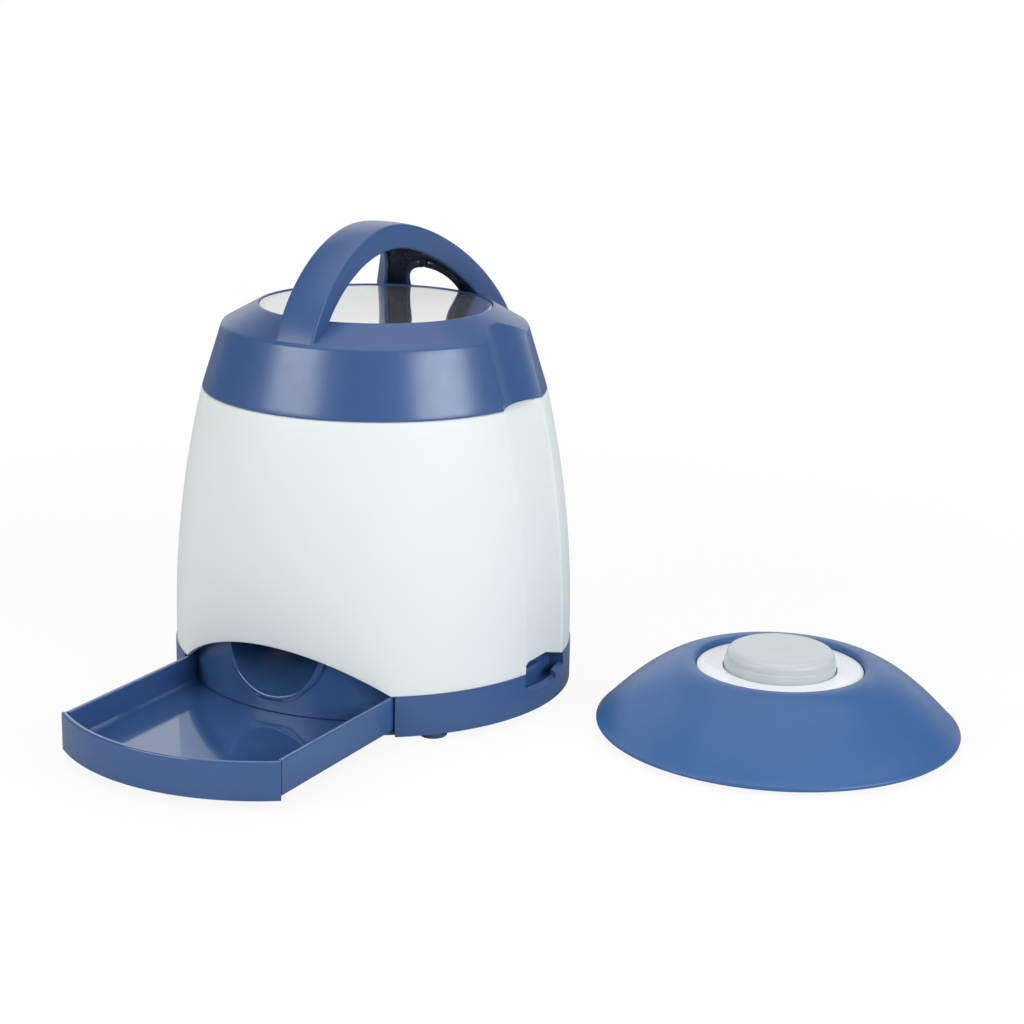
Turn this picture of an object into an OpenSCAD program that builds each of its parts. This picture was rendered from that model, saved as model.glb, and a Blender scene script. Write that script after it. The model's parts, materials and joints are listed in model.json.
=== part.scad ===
// Dog puzzle toy: a barrel-shaped treat dispenser with a handled lid and a pull-out tray,
// and a separate saucer-shaped remote with one big button.
// Millimetres. The origin is on the floor under the middle of the dispenser.
// The tray comes out towards -Y, the remote stands towards +X, up is +Z.

/* [Base] */
// Radius of the round base
base_r = 95; // [93:0.5:100]
// Height of the base wall, without the feet
base_h = 18.7; // [18:0.1:22]
// Height of the rubber feet
foot_h = 3; // [2:0.5:6]
// Radius of a rubber foot
foot_r = 6.5; // [5:0.5:7]
// Thickness of the moulded walls
wall = 2.5; // [2:0.1:3]
// Thickness of the base floor
floor_t = 1.6; // [1.4:0.1:2]

/* [Body] */
// Height of the barrel between base and lid
body_h = 121.8; // [115:0.5:150]
// Radius at the top of the barrel
body_top_r = 81; // [79:0.5:84]
// Width of the shallow band down each side
band_w = 36.8; // [30:0.2:40]
// Depth of that band
band_depth = 0.9; // [0.5:0.1:1.2]
// Height of the arch over the tray
arch_h = 19.5; // [17:0.5:24]

/* [Lid] */
// Height of the steep wall of the lid
lid_wall_h = 30; // [27:0.5:36]
// How far the steep wall leans in
crease_inset = 9.5; // [7:0.5:11]
// Height of the shoulder from the crease to the window
slope_h = 9.6; // [8:0.2:12]
// How far the shoulder leans in
slope_inset = 17.2; // [16:0.2:19]
// Thickness of the clear window
window_t = 2; // [1.5:0.1:2.5]
// Depth of the finger scoop in each side
scoop_depth = 7; // [5:0.5:7.5]
// Radius of that scoop
scoop_r = 41; // [36:1:46]

/* [Handle] */
// Width of the handle at its top
handle_w = 19.6; // [16:0.2:22]
// Thickness of the handle at its top
handle_t = 11.4; // [10:0.2:13]
// Height of the handle above the window rim
handle_rise = 36.9; // [34:0.5:42]
// Half spread of the forked end at the back
fork_spread = 36.5; // [34:0.5:38]
// Half width of the gap between the legs, next to the window
fork_gap = 13; // [11:0.5:14]

/* [Tray] */
// Width of the tray
tray_w = 112; // [104:1:114]
// How far the tray stands out of the base
tray_out = 89.5; // [60:0.5:91]
// Thickness of the tray walls
tray_t = 2.4; // [2:0.1:3]

/* [Outlet] */
// Inner radius of the sloping chute
chute_r = 24.5; // [20:0.5:25]
// Height of the outlet's middle
outlet_z = 42; // [40:0.5:43]
// Slope of the chute in degrees
chute_tilt = 25; // [22:1:28]

/* [Treat wheel] */
// How far the inside of the treat hopper stays in from the top of the barrel
hopper_inset = 15; // [14:0.5:17]
// Depth of the treat hopper
hopper_d = 43; // [40:0.5:46]
// Number of vanes on the treat wheel
vanes = 6; // [5:1:8]
// Tooth count of the gear under the wheel
gear_teeth = 36; // [30:2:36]
// Tooth count of the motor pinion
pinion_teeth = 12; // [12:2:14]
// Tooth size of both gears
gear_module = 1.2; // [1.1:0.05:1.25]
// Radius of the wheel's shaft
shaft_r = 3; // [2.5:0.25:3.5]

/* [Remote] */
// Place of the remote beside the dispenser, along X
remote_x = 197; // [185:1:300]
// Place of the remote beside the dispenser, along Y
remote_y = 31.5; // [-40:0.5:60]
// Radius of the remote's foot
remote_r = 83; // [82:0.2:90]
// Height of the rim around the white disc
rim_z = 32; // [31:0.5:36]
// Radius of the white disc
disc_r = 38; // [36:0.5:40]
// Radius of the button
button_r = 25.4; // [22:0.2:27]
// How far the button stands above the disc
button_rise = 9.4; // [7:0.2:12]
// How far the button goes down
button_travel = 2.5; // [1:0.1:3]

/* [Hidden] */
$fn = 96;
eps = 0.01;
gap = 0.4;
run_gap = 0.05;
blue = [0.22, 0.36, 0.62];
white = [0.92, 0.95, 0.94];
dark = [0.12, 0.12, 0.13];
steel = [0.72, 0.73, 0.75];

// Heights of the dispenser from the floor up
floor_z = foot_h + floor_t;
base_top = foot_h + base_h;
body_top = base_top + body_h;
crease_z = body_top + lid_wall_h;
rim_top = crease_z + slope_h;
handle_top = rim_top + handle_rise;

// Barrel: a parabola from its widest place up to the top radius
body_max_r = base_r - 0.5;
bulge_z = base_top + 8.3;
bulge_k = (body_max_r - body_top_r) / pow(body_top - bulge_z, 2);
barrel_steps = 12;
function barrel_r(z) = body_max_r - bulge_k * pow(z - bulge_z, 2);
function barrel_line(z0, z1, d) =
  [for (i = [0:barrel_steps]) let (z = z0 + (z1 - z0) * i / barrel_steps) [barrel_r(z) - d, z]];
hopper_r = body_top_r - hopper_inset;
ledge_r = hopper_r + 6;
post_ring_r = base_r - 11.5;
post_at = 21;
post_r = 4.5;
post_h = 30;

// Lid
crease_r = body_top_r - crease_inset;
window_r = crease_r - slope_inset;
wall_lean = atan2(crease_inset, lid_wall_h);
slope_lean = atan2(slope_h, slope_inset);
lid_wall_dx = wall / cos(wall_lean);
lid_slope_dz = wall / cos(slope_lean);
window_seat = rim_top - 1 - window_t;
web_z = body_top + 0.5;
web_t = 2;

// Handle: domes that bend less across than along
handle_foot_y = crease_r - 1.2;
dome_out_h = handle_top - crease_z;
dome_out_r = (pow(handle_foot_y, 2) + pow(dome_out_h, 2)) / (2 * dome_out_h);
dome_out_z = handle_top - dome_out_r;
dome_in_h = handle_rise - handle_t;
handle_in_y = window_r + 0.6;
dome_in_r = (pow(handle_in_y, 2) + pow(dome_in_h, 2)) / (2 * dome_in_h);
dome_in_z = rim_top + dome_in_h - dome_in_r;
dome_flat = 0.8;
fork_y0 = 1.3;
fork_y1 = crease_r - 11.7;
fork_k = (fork_spread - handle_w / 2) / pow(fork_y1 - fork_y0, 2);
fork_gap_y = window_r - 1.3;
fork_flare = 0.73;
fork_arch_r = 20;
fork_arch_z = rim_top + 10.2 - fork_arch_r;
shoulder_r = (crease_r + window_r) / 2;
leg_screw_at = 24.5;
channel_in = 3.2;
channel_d = 5;
insert_t = 2;
channel_z = rim_top + 9;
function half_width(y) = handle_w / 2 + (y > fork_y0 ? fork_k * pow(y - fork_y0, 2) : 0);

// Tray and the wall behind the arch
tray_half = tray_w / 2;
runner_h = 1.2;
runner_x = tray_half - 8;
tray_z = floor_z + runner_h + 0.2;
tray_floor = tray_z + 2.2;
tray_rear = -62;
panel_z = foot_h + 1.4;
panel_half = tray_half + 0.8;
slot_half = panel_half + 0.4;
rail_in = tray_half + gap;
rail_t = 2;
arch_half = tray_half - 0.5;
arch_r = (pow(arch_half, 2) + pow(arch_h, 2)) / (2 * arch_h);
shield_r = body_max_r - wall - 3.5;
shield_t = 2.5;
shield_half = tray_half - tray_t - gap;
chute_wall = 2;
drop_r = 18;
drop_y = drop_r + 2 - hopper_r;
chute_len = (shield_r + drop_y + drop_r + 3) / cos(chute_tilt);

// Hopper and drive
hopper_t = 2;
hopper_top = body_top - 0.5;
deck_z = hopper_top - hopper_d - hopper_t;
flange_z = body_top - wall;
bush_r = shaft_r + 2;
bush_len = 8;
wheel_z = deck_z + hopper_t + 0.5;
gear_t = 6;
gear_z = deck_z - 14;
gear_r = gear_module * gear_teeth / 2;
pinion_r = gear_module * pinion_teeth / 2;
motor_y = gear_r + pinion_r + 0.05;
motor_shaft_r = 1.5;
deck_t = 2;
deck_top = gear_z - 2;
deck_post_x = gear_r + 14.4;
deck_post_dy = 18;
deck_posts = [[deck_post_x, 0], [-deck_post_x, 0], [0, motor_y + deck_post_dy]];
deck_post_r = 4;
deck_edge = 6;
deck_front = 12;
speaker_r = 11;
speaker_at = -22;

// Battery box at the back of the base
cell_r = 7.25;
cell_len = 50.5;
cell_pitch = 16;
cell_y = base_r - 33;
cell_z = floor_z + 2;
box_t = 1.5;
box_half = 2 * cell_pitch;
box_y0 = cell_y - 8;
box_y1 = cell_y + 8;
box_in_top = cell_z + cell_len + 1.4;
box_top = box_in_top + box_t;
door_in = 1;
door_screw_x = box_half + 8;
board_post_h = 3;
board_z = box_top + board_post_h;
board_t = 1.6;
board_half = box_half;
board_deep = 11;
board_post_x = box_half - 5;
board_post_dy = 6;
contact_half = 13;

// Remote, about its own axis
pad_h = 2;
pad_r = 6;
pad_inset = 12.5;
plate_t = 2;
plate_top = pad_h + plate_t;
rim_r = disc_r + 3.4;
edge_z = pad_h + 1.2;
cover_t = 2;
cover_steps = 12;
cover_bend = 1.55;
function cover_r(t) = remote_r + (rim_r + 1.3 - remote_r) * t;
function cover_z(t) = edge_z + (rim_z - edge_z) * (1 - pow(1 - t, cover_bend));
disc_t = 2;
disc_top = rim_z - 2.2;
disc_under = disc_top - disc_t;
seat_r = disc_r - 1.5;
button_top = disc_top + button_rise;
flange_top = disc_under - run_gap;
flange_t = 2.2;
flange_out = button_r + 3.4;
button_wall = 2;
button_round = 3;
pcb_post_h = 7.4;
pcb_z = plate_top + pcb_post_h;
pcb_t = 1.6;
pcb_top = pcb_z + pcb_t;
pcb_r = 33;
pcb_post_ring = 28;
stem_r = 4;
switch_h = 3.5;
switch_top = pcb_top + switch_h + 2.4;
stem_z = switch_top + button_travel + 0.2;
spring_r = 14;
spring_wire = 0.7;
spring_turns = 6;
aaa_r = 5.2;
aaa_len = 44.5;
aaa_y = [41.6, 52.2];
aaa_z = plate_top + 0.2 + aaa_r;
tub_half = aaa_len / 2 + 0.75;
tub_y0 = aaa_y[0] - aaa_r - 0.2;
tub_y1 = aaa_y[1] + aaa_r + 0.2;
tub_top = aaa_z + aaa_r + 0.2;
tub_t = 1.2;
lug_len = 6.2;
cover_post_ring = 62;
cover_post_r = 4;
cover_post_at = [0, 180, 250, 290];

// Helpers
module ring(r1, r2, h) {
  difference() {
    cylinder(r = r2, h = h);
    translate([0, 0, -1]) cylinder(r = r1, h = h + 2);
  }
}

module block(x0, x1, y0, y1, z0, z1) {
  translate([x0, y0, z0]) cube([x1 - x0, y1 - y0, z1 - z0]);
}

module both_sides() {
  children();
  mirror([1, 0, 0]) children();
}

module four_corners(x, y) {
  for (sx = [-1, 1]) for (sy = [-1, 1]) translate([sx * x, sy * y, 0]) children();
}

// Pan-head screw pointing up, the underside of its head at z = 0
module screw(r, len, head_r, head_t) {
  rotate_extrude() polygon([[0, -head_t], [head_r, -head_t], [head_r, 0], [r, 0], [r, len], [0, len]]);
}

// Places of the four screw posts between base and body
module at_posts() {
  for (a = [post_at, 180 - post_at, 180 + post_at, 360 - post_at]) rotate([0, 0, a])
    translate([post_ring_r, 0, 0]) children();
}

// Base: round pan with tray rails, screw posts and a latch pocket on each side
latch_y0 = -band_w / 2;
latch_y1 = 8;
latch_y2 = -latch_y0;
latch_rise = 5;
latch_cut_z = base_top - 7.4;
latch_step_z = base_top - 4.6;
pocket_x = base_r - 9;
pocket_t = 2;
pocket_z = latch_cut_z - 2.3;
pocket_end = sqrt(pow(base_r - wall, 2) - pow(latch_y0, 2)) + 1.2;
lip_x = base_r - wall - 1;
lip_d = 2.6;
screw_seat = floor_z + 7.4;

// Sloping lip below a notch, from its edge in the wall down and out
module notch_lip(y0, y1, z) {
  translate([0, y1, 0]) rotate([90, 0, 0]) linear_extrude(y1 - y0)
    polygon([[lip_x, z + eps], [base_r + 1, z + eps], [base_r + 1, z - lip_d]]);
}

module base_shell() color(blue) difference() {
  union() {
    difference() {
      translate([0, 0, foot_h]) cylinder(r = base_r, h = base_h);
      translate([0, 0, floor_z]) cylinder(r = base_r - wall, h = base_h);
    }
    both_sides() {
      block(rail_in, rail_in + rail_t, -sqrt(pow(base_r - wall, 2) - pow(rail_in + rail_t, 2)) - 1,
        tray_rear + tray_out + 3, floor_z - eps, floor_z + 9);
      block(runner_x, runner_x + 3, 1 - sqrt(pow(base_r - wall - gap, 2) - pow(runner_x + 3, 2)),
        tray_rear + tray_out, floor_z - eps, floor_z + runner_h);
      // Latch pocket: a cup behind the wall
      block(pocket_x - pocket_t, pocket_x, latch_y0 - pocket_t, latch_y2 + pocket_t, floor_z - eps,
          base_top + latch_rise);
      block(pocket_x - eps, pocket_end, latch_y0 - pocket_t, latch_y0, floor_z - eps, base_top - 0.4);
      block(pocket_x - eps, pocket_end, latch_y2, latch_y2 + pocket_t, floor_z - eps, base_top - 0.4);
      block(pocket_x - eps, base_r - wall + 0.6, latch_y0 - eps, latch_y2 + eps, pocket_z - pocket_t,
          pocket_z);
    }
    at_posts() translate([0, 0, floor_z - eps]) cylinder(r = post_r, h = base_top - floor_z + eps);
  }
  // Way for the tray's front panel
  intersection() {
    block(-slot_half, slot_half, -base_r - 1, -60, foot_h - 1, base_top + 1);
    translate([0, 0, foot_h - 1]) ring(base_r - wall - gap, base_r + 2, base_h + 2);
  }
  // Screw holes, wide from below for the heads
  at_posts() {
    translate([0, 0, foot_h - 1]) cylinder(r = 1.7, h = base_h + 2);
    translate([0, 0, foot_h - 1]) cylinder(r = 3.3, h = screw_seat - foot_h + 1);
  }
  // Notch in front of each latch pocket, less deep towards the back
  both_sides() {
    block(pocket_x + 3.2, base_r + 1, latch_y0, latch_y1, latch_cut_z, base_top + 1);
    block(pocket_x + 3.2, base_r + 1, latch_y1 - 1, latch_y2, latch_step_z, base_top + 1);
    notch_lip(latch_y0, latch_y1, latch_cut_z);
    notch_lip(latch_y1 - eps, latch_y2, latch_step_z);
    translate([0, 0, latch_cut_z]) linear_extrude(base_top + 1 - latch_cut_z)
      polygon([[lip_x, latch_y0 + eps], [base_r + 1, latch_y0 + eps], [base_r + 1, latch_y0 - lip_d]]);
  }
  // Holes for the plugs of the feet
  four_corners(base_r * 0.695, base_r * 0.6) translate([0, 0, foot_h - 1]) cylinder(r = 2, h = floor_t + 2);
  // Battery opening
  block(-box_half + door_in, door_screw_x + 5, box_y0 + door_in, box_y1 - door_in, foot_h - 1, floor_z + 1);
  // Sound holes in the floor, between the tray and the battery box
  translate([0, (tray_rear + tray_out + box_y0) / 2, foot_h - 1]) {
    cylinder(r = 1.2, h = floor_t + 2);
    for (a = [0:60:300]) rotate([0, 0, a]) translate([6, 0, 0]) cylinder(r = 1.2, h = floor_t + 2);
  }
  // Slot for the power slider in the back wall
  block(-slider_slot / 2, slider_slot / 2, base_r - wall - 2, base_r + 1, slider_z - 2.4, slider_z + 2.4);
}

module rubber_feet() color(dark) four_corners(base_r * 0.695, base_r * 0.6) {
  cylinder(r = foot_r, h = foot_h);
  translate([0, 0, foot_h - eps]) cylinder(r = 2, h = floor_t + 1.2);
}

module base_screws() color(steel) at_posts() translate([0, 0, screw_seat])
  screw(1.5, base_top - screw_seat + 14, 2.8, 2);

// Sprung hooks that hold the base to the body, one in each pocket
module latch_hooks() color(blue) both_sides() {
  block(pocket_x, pocket_x + 1.4, latch_y0 + 6, latch_y1 - 6, pocket_z, base_top);
  block(pocket_x + 1.3, pocket_x + 2.8, latch_y0 + 6, latch_y1 - 6, base_top - 2.4, base_top);
}

// Tray: open box with a curved front panel that closes flush with the base
module tray_plan(half, r) {
  intersection() {
    block(-half, half, -base_r - tray_out - 1, tray_rear, 0, base_top);
    union() {
      translate([0, -tray_out, 0]) cylinder(r = r, h = base_top);
      block(-half, half, -tray_out, tray_rear, 0, base_top);
    }
  }
}

module tray() color(blue) difference() {
  union() {
    intersection() {
      tray_plan(tray_half, base_r);
      block(-tray_w, tray_w, -base_r - tray_out - 1, 0, tray_z, base_top);
    }
    intersection() {
      translate([0, -tray_out, panel_z]) ring(base_r - tray_t, base_r, base_top - panel_z);
      block(-panel_half, panel_half, -base_r - tray_out - 1, -tray_out - 40, foot_h, base_top + 1);
    }
  }
  difference() {
    intersection() {
      tray_plan(tray_half - tray_t, base_r - tray_t);
      block(-tray_w, tray_w, -base_r - tray_out, 1, tray_floor, base_top + 1);
    }
    block(-tray_w, tray_w, tray_rear - tray_t, tray_rear + 1, 0, tray_floor + 3);
  }
  // Low back end, so that it passes under the outlet
  block(-tray_half + tray_t, tray_half - tray_t, tray_rear - tray_t - 1, tray_rear + 1, tray_floor + 3,
      base_top + 1);
}

// Body: barrel shell with the arch, the side bands and an inward ledge at the top
module barrel(d, z0, z1) {
  rotate_extrude() polygon(concat([[0, z0]], barrel_line(z0, z1, d), [[0, z1]]));
}

module band_cut(d) {
  difference() {
    both_sides() block(body_top_r - 12, base_r + 5, -band_w / 2, band_w / 2, base_top - 1, body_top + 1);
    barrel(d, base_top - 2, body_top + 2);
  }
}

// Raised lower edge over a latch pocket: round in front, level, then falling towards the back
module latch_arch() {
  y0 = latch_y0 + latch_rise;
  y1 = 2;
  low = base_top - 1;
  high = base_top + latch_rise - 0.15;
  translate([base_r - 14, y0, base_top]) rotate([0, 90, 0]) cylinder(r = latch_rise, h = 20);
  translate([base_r - 14, 0, 0]) rotate([90, 0, 90]) linear_extrude(20)
    polygon([[y0, low], [y0, high], [y1, high], [latch_y2, base_top], [latch_y2, low]]);
}

module body_shell() color(white) difference() {
  union() {
    difference() {
      barrel(0, base_top, body_top);
      barrel(wall + band_depth, base_top - 1, flange_z);
      translate([0, 0, flange_z - 1]) cylinder(r = ledge_r, h = wall + 2);
    }
    // Posts for the base screws, each on a rib from the wall
    at_posts() translate([0, 0, base_top]) difference() {
      union() {
        cylinder(r = post_r, h = post_h);
        translate([0, -1, 0]) cube([base_r - post_ring_r - 2.2, 2, post_h]);
      }
      translate([0, 0, -1]) cylinder(r = 1.5, h = 15);
    }
  }
  band_cut(band_depth);
  // Arch over the tray
  translate([0, 0, base_top + arch_h - arch_r]) rotate([90, 0, 0]) translate([0, 0,
      40]) cylinder(r = arch_r, h = 80);
  // Raised lower edge over the latch pockets
  both_sides() latch_arch();
  // Blind holes for the hopper screws
  hopper_screw_places() translate([0, 0, flange_z - 1]) cylinder(r = 1.2, h = 2.8);
}

// Outlet: curved wall behind the arch, a sloping chute and the drop shaft above it
module along_chute() {
  translate([0, -shield_r, outlet_z]) rotate([-90 + chute_tilt, 0, 0]) children();
}

module chute_solid(r, d) {
  along_chute() translate([0, 0, -12]) cylinder(r = r, h = chute_len + 12 - d);
}

module outlet_chute() color(blue) difference() {
  union() {
    intersection() {
      translate([0, 0, tray_floor + gap]) ring(shield_r - shield_t, shield_r, 64);
      union() {
        block(-shield_half, shield_half, -base_r, -40, 0, base_top + 1);
        block(-shield_half - 6, shield_half + 6, -base_r, -40, base_top + 0.6, body_top);
      }
    }
    // Chute tube with a small bead around the mouth
    intersection() {
      chute_solid(chute_r + chute_wall, 0);
      cylinder(r = shield_r - 0.5, h = body_top);
    }
    intersection() {
      chute_solid(chute_r + 1.6, 20);
      cylinder(r = shield_r + 0.8, h = body_top);
    }
    translate([0, drop_y, outlet_z + 20]) cylinder(r = drop_r + chute_wall, h = deck_z - outlet_z - 20);
    block(-drop_r - 8, drop_r + 8, drop_y - 5, drop_y + 5, deck_z - 2.5, deck_z);
  }
  chute_solid(chute_r, chute_wall);
  translate([0, drop_y, outlet_z + 12]) cylinder(r = drop_r, h = deck_z);
  chute_screw_places() translate([0, 0, deck_z - 4]) cylinder(r = 1.2, h = 6);
}

module chute_screw_places() {
  for (s = [-1, 1]) translate([s * (drop_r + 5), drop_y, 0]) children();
}

module chute_screws() color(steel) chute_screw_places() translate([0, 0, deck_z - 2.5]) screw(1.2, 3.6,
    2.2, 1.4);

// Hopper: treat cup hung under the ledge of the body
module hopper_screw_places() {
  for (a = [45:90:315]) rotate([0, 0, a]) translate([ledge_r + 2.4, 0, 0]) children();
}

module hopper() color(white) difference() {
  union() {
    translate([0, 0, deck_z]) cylinder(r = hopper_r + hopper_t, h = hopper_top - deck_z);
    translate([0, 0, flange_z - 2]) cylinder(r = ledge_r + 5, h = 2);
    translate([0, 0, deck_z - bush_len + hopper_t]) cylinder(r = bush_r + 3, h = bush_len);
  }
  translate([0, 0, deck_z + hopper_t]) cylinder(r = hopper_r, h = hopper_d + 1);
  translate([0, drop_y, deck_z - 1]) cylinder(r = drop_r, h = hopper_t + 2);
  translate([0, 0, deck_z - bush_len]) cylinder(r = bush_r, h = bush_len * 2);
  hopper_screw_places() translate([0, 0, flange_z - 3]) cylinder(r = 1.2, h = 4);
  chute_screw_places() translate([0, 0, deck_z - 1]) cylinder(r = 1.2, h = 2.1);
  for (p = deck_posts) translate([p[0], p[1], deck_z - 1]) cylinder(r = 1.5, h = 2.2);
}

module hopper_screws() color(steel) hopper_screw_places() translate([0, 0, flange_z - 2]) screw(1.2,
    3.6, 2.2, 1.4);

module shaft_bush() color([0.75, 0.6, 0.25]) translate([0, 0, deck_z - bush_len + hopper_t])
  ring(shaft_r + run_gap, bush_r, bush_len);

// Treat wheel: hub with straight vanes that push treats to the drop hole
hub_r = 11;
hub_h = 21;
vane_h = 18;

module treat_wheel() color(blue) difference() {
  union() {
    translate([0, 0, wheel_z]) rotate_extrude()
      polygon([[0, 0], [hub_r, 0], [hub_r, hub_h - 4], [hub_r - 1.5, hub_h - 1.5], [hub_r - 4, hub_h],
          [0, hub_h]]);
    for (i = [0:vanes - 1]) rotate([0, 0, i * 360 / vanes]) block(hub_r - 2, hopper_r - 1.5, -1, 1,
      wheel_z + 0.4, wheel_z + vane_h);
  }
  translate([0, 0, wheel_z - 1]) cylinder(r = shaft_r, h = hub_h - 3);
}

module wheel_shaft() color(steel) translate([0, 0, deck_top - deck_t]) cylinder(r = shaft_r,
    h = wheel_z + hub_h - 4 - deck_top + deck_t);

// Involute spur gears
pressure = 20;
backlash = 0.16;
function inv_deg(a) = tan(a) * 180 / PI - a;
function flank(teeth, r) = 90 / teeth + inv_deg(pressure)
  - inv_deg(acos(min(1, gear_module * teeth / 2 * cos(pressure) / r)))
  - backlash / (gear_module * teeth / 2) * 180 / PI;
function polar(r, a) = [r * cos(a), r * sin(a)];
function tooth(teeth, c) = let (
    rp = gear_module * teeth / 2,
    rt = rp + 0.75 * gear_module,
    rs = max(rp * cos(pressure), rp - 0.9 * gear_module),
    rr = rp - 1.15 * gear_module,
    rad = [for (i = [0:3]) rs + (rt - rs) * i / 3]
  ) concat([polar(rr, c - flank(teeth, rs) - 0.5)],
    [for (r = rad) polar(r, c - flank(teeth, r))],
    [for (i = [3:-1:0]) polar(rad[i], c + flank(teeth, rad[i]))],
    [polar(rr, c + flank(teeth, rs) + 0.5)]);
function gear_outline(teeth, turn) = [for (i = [0:teeth - 1]) each tooth(teeth, i * 360 / teeth + turn)];

module wheel_gear() color(white) translate([0, 0, gear_z]) difference() {
  linear_extrude(gear_t) polygon(gear_outline(gear_teeth, 90));
  translate([0, 0, -1]) cylinder(r = shaft_r, h = gear_t + 2);
}

module motor_pinion() color(white) translate([0, motor_y, gear_z - 0.5]) difference() {
  linear_extrude(gear_t + 1) polygon(gear_outline(pinion_teeth, 270 + 180 / pinion_teeth));
  translate([0, 0, -1]) cylinder(r = motor_shaft_r, h = gear_t + 3);
}

motor_can_r = 12.2;
motor_len = 34;
gearbox_t = 6;
motor_top = deck_top - deck_t;

module motor_shaft() color(steel) translate([0, motor_y, motor_top - 3]) cylinder(r = motor_shaft_r,
    h = gear_z + gear_t + 0.5 - motor_top + 3);

module gear_motor() color([0.5, 0.51, 0.53]) translate([0, motor_y, 0]) difference() {
  union() {
    translate([0, 0, motor_top - gearbox_t]) cylinder(r = motor_can_r + 1.8, h = gearbox_t);
    translate([0, 0, motor_top - gearbox_t - motor_len]) cylinder(r = motor_can_r, h = motor_len + eps);
    translate([0, 0, motor_top - eps]) cylinder(r = 3.5, h = deck_t + eps);
  }
  translate([0, 0, motor_top - 3.3]) cylinder(r = motor_shaft_r + run_gap, h = deck_t + 5);
}

// Deck that carries the motor and the lower end of the shaft, on posts from the hopper floor
module gear_deck() color(white) difference() {
  union() {
    block(-deck_post_x - deck_edge, deck_post_x + deck_edge, -deck_front,
        motor_y + deck_post_dy + deck_edge,
      deck_top - deck_t, deck_top);
    for (p = deck_posts) translate([p[0], p[1], deck_top - eps]) cylinder(r = deck_post_r,
        h = deck_z - deck_top + eps);
  }
  translate([0, 0, deck_top - deck_t - 1]) cylinder(r = shaft_r + run_gap, h = deck_t + 2);
  translate([0, motor_y, deck_top - deck_t - 1]) cylinder(r = 3.5, h = deck_t + 2);
  for (p = deck_posts) translate([p[0], p[1], deck_top - deck_t - 1]) cylinder(r = 1.5,
      h = deck_z - deck_top + deck_t + 2);
}

module deck_screws() color(steel) for (p = deck_posts) translate([p[0], p[1], deck_top - deck_t])
  screw(1.5, deck_z - deck_top + deck_t + 1.2, 2.8, 2);

// Battery box over the opening in the base floor, with a lug for the door screw
module battery_box() color(dark) difference() {
  union() {
    block(-box_half - box_t, box_half + box_t, box_y0 - box_t, box_y1 + box_t, floor_z, box_top);
    block(box_half, door_screw_x + 4, cell_y - 5, cell_y + 5, floor_z, floor_z + 9);
    board_post_places() translate([0, 0, box_top - eps]) cylinder(r = 3, h = board_post_h + eps);
  }
  block(-box_half, box_half, box_y0, box_y1, floor_z - 1, box_in_top);
  translate([door_screw_x, cell_y, floor_z - 1]) cylinder(r = 1.3, h = 8.6);
  board_post_places() translate([0, 0, box_top + 0.3]) cylinder(r = 1.2, h = board_post_h + 1);
}

module board_post_places() {
  for (sx = [-1, 1]) for (sy = [-1, 1])
    translate([sx * board_post_x, cell_y + sy * board_post_dy, 0]) children();
}

module battery_cells() color([0.2, 0.35, 0.3]) for (i = [-1.5:1:1.5]) translate([i * cell_pitch,
    cell_y, cell_z]) {
  cylinder(r = cell_r, h = cell_len - 1.2);
  translate([0, 0, cell_len - 1.2 - eps]) cylinder(r = 2.7, h = 1.2 + eps);
}

// Metal strips over pairs of cells, and short springs under them
module battery_contacts() color(steel) {
  for (s = [-1, 1]) block(s * cell_pitch - contact_half, s * cell_pitch + contact_half, cell_y - 5,
      cell_y + 5,
    cell_z + cell_len, box_in_top);
  for (i = [-1.5:1:1.5]) translate([i * cell_pitch, cell_y, floor_z]) cylinder(r = 3.5,
      h = cell_z - floor_z);
}

module battery_door() color(blue) difference() {
  block(-box_half + door_in + gap, door_screw_x + 5 - gap, box_y0 + door_in + gap,
      box_y1 - door_in - gap, foot_h, floor_z);
  translate([door_screw_x, cell_y, foot_h - 1]) cylinder(r = 2.5, h = 2);
  translate([door_screw_x, cell_y, foot_h - 1]) cylinder(r = 1.5, h = floor_t + 2);
}

module door_screw() color(steel) translate([door_screw_x, cell_y, foot_h + 1]) screw(1.3, 8, 2.4, 0.9);

module main_board() color([0.1, 0.35, 0.2]) difference() {
  block(-board_half, board_half, cell_y - board_deep, cell_y + board_deep, board_z, board_z + board_t);
  board_post_places() translate([0, 0, board_z - 1]) cylinder(r = 1.3, h = board_t + 2);
}

// Chip, radio receiver and two capacitors
module board_parts() color(dark) translate([0, cell_y, board_z + board_t]) {
  block(-5, 5, -5, 5, 0, 1.6);
  block(10, 20, -4, 4, 0, 2.2);
  for (s = [-1, 1]) translate([-14, s * 5, 0]) cylinder(r = 3, h = 7);
}

module board_screws() color(steel) board_post_places() translate([0, 0, board_z + board_t]) mirror([0,
    0, 1])
  screw(1.2, board_t + board_post_h - 0.4, 2.2, 1.4);

// Loudspeaker glued by its magnet under the hopper floor, its cone facing down
module loudspeaker() color(dark) rotate([0, 0, speaker_at]) translate([hopper_r - speaker_r - 2, 0, deck_z])
  mirror([0, 0, 1]) rotate_extrude() polygon([[0, 0], [speaker_r - 5, 0], [speaker_r - 5, 4],
      [speaker_r - 3, 4],
    [speaker_r, 6], [speaker_r, 8], [speaker_r - 2, 8], [speaker_r - 4, 6.5], [0, 6.5]]);

// Power switch on the back wall: a housing inside, and a slider that shows outside
slider_z = foot_h + 10;
slider_w = 6;
slider_travel = 4;
slider_slot = slider_w + slider_travel + 0.8;
housing_front = base_r - wall - 1;

module switch_housing() color(dark) difference() {
  block(-10, 10, housing_front - 8, housing_front, floor_z, floor_z + 14);
  block(-8, 8, housing_front - 5, housing_front + 1, slider_z - 3.4, slider_z + 3.4);
}

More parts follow.
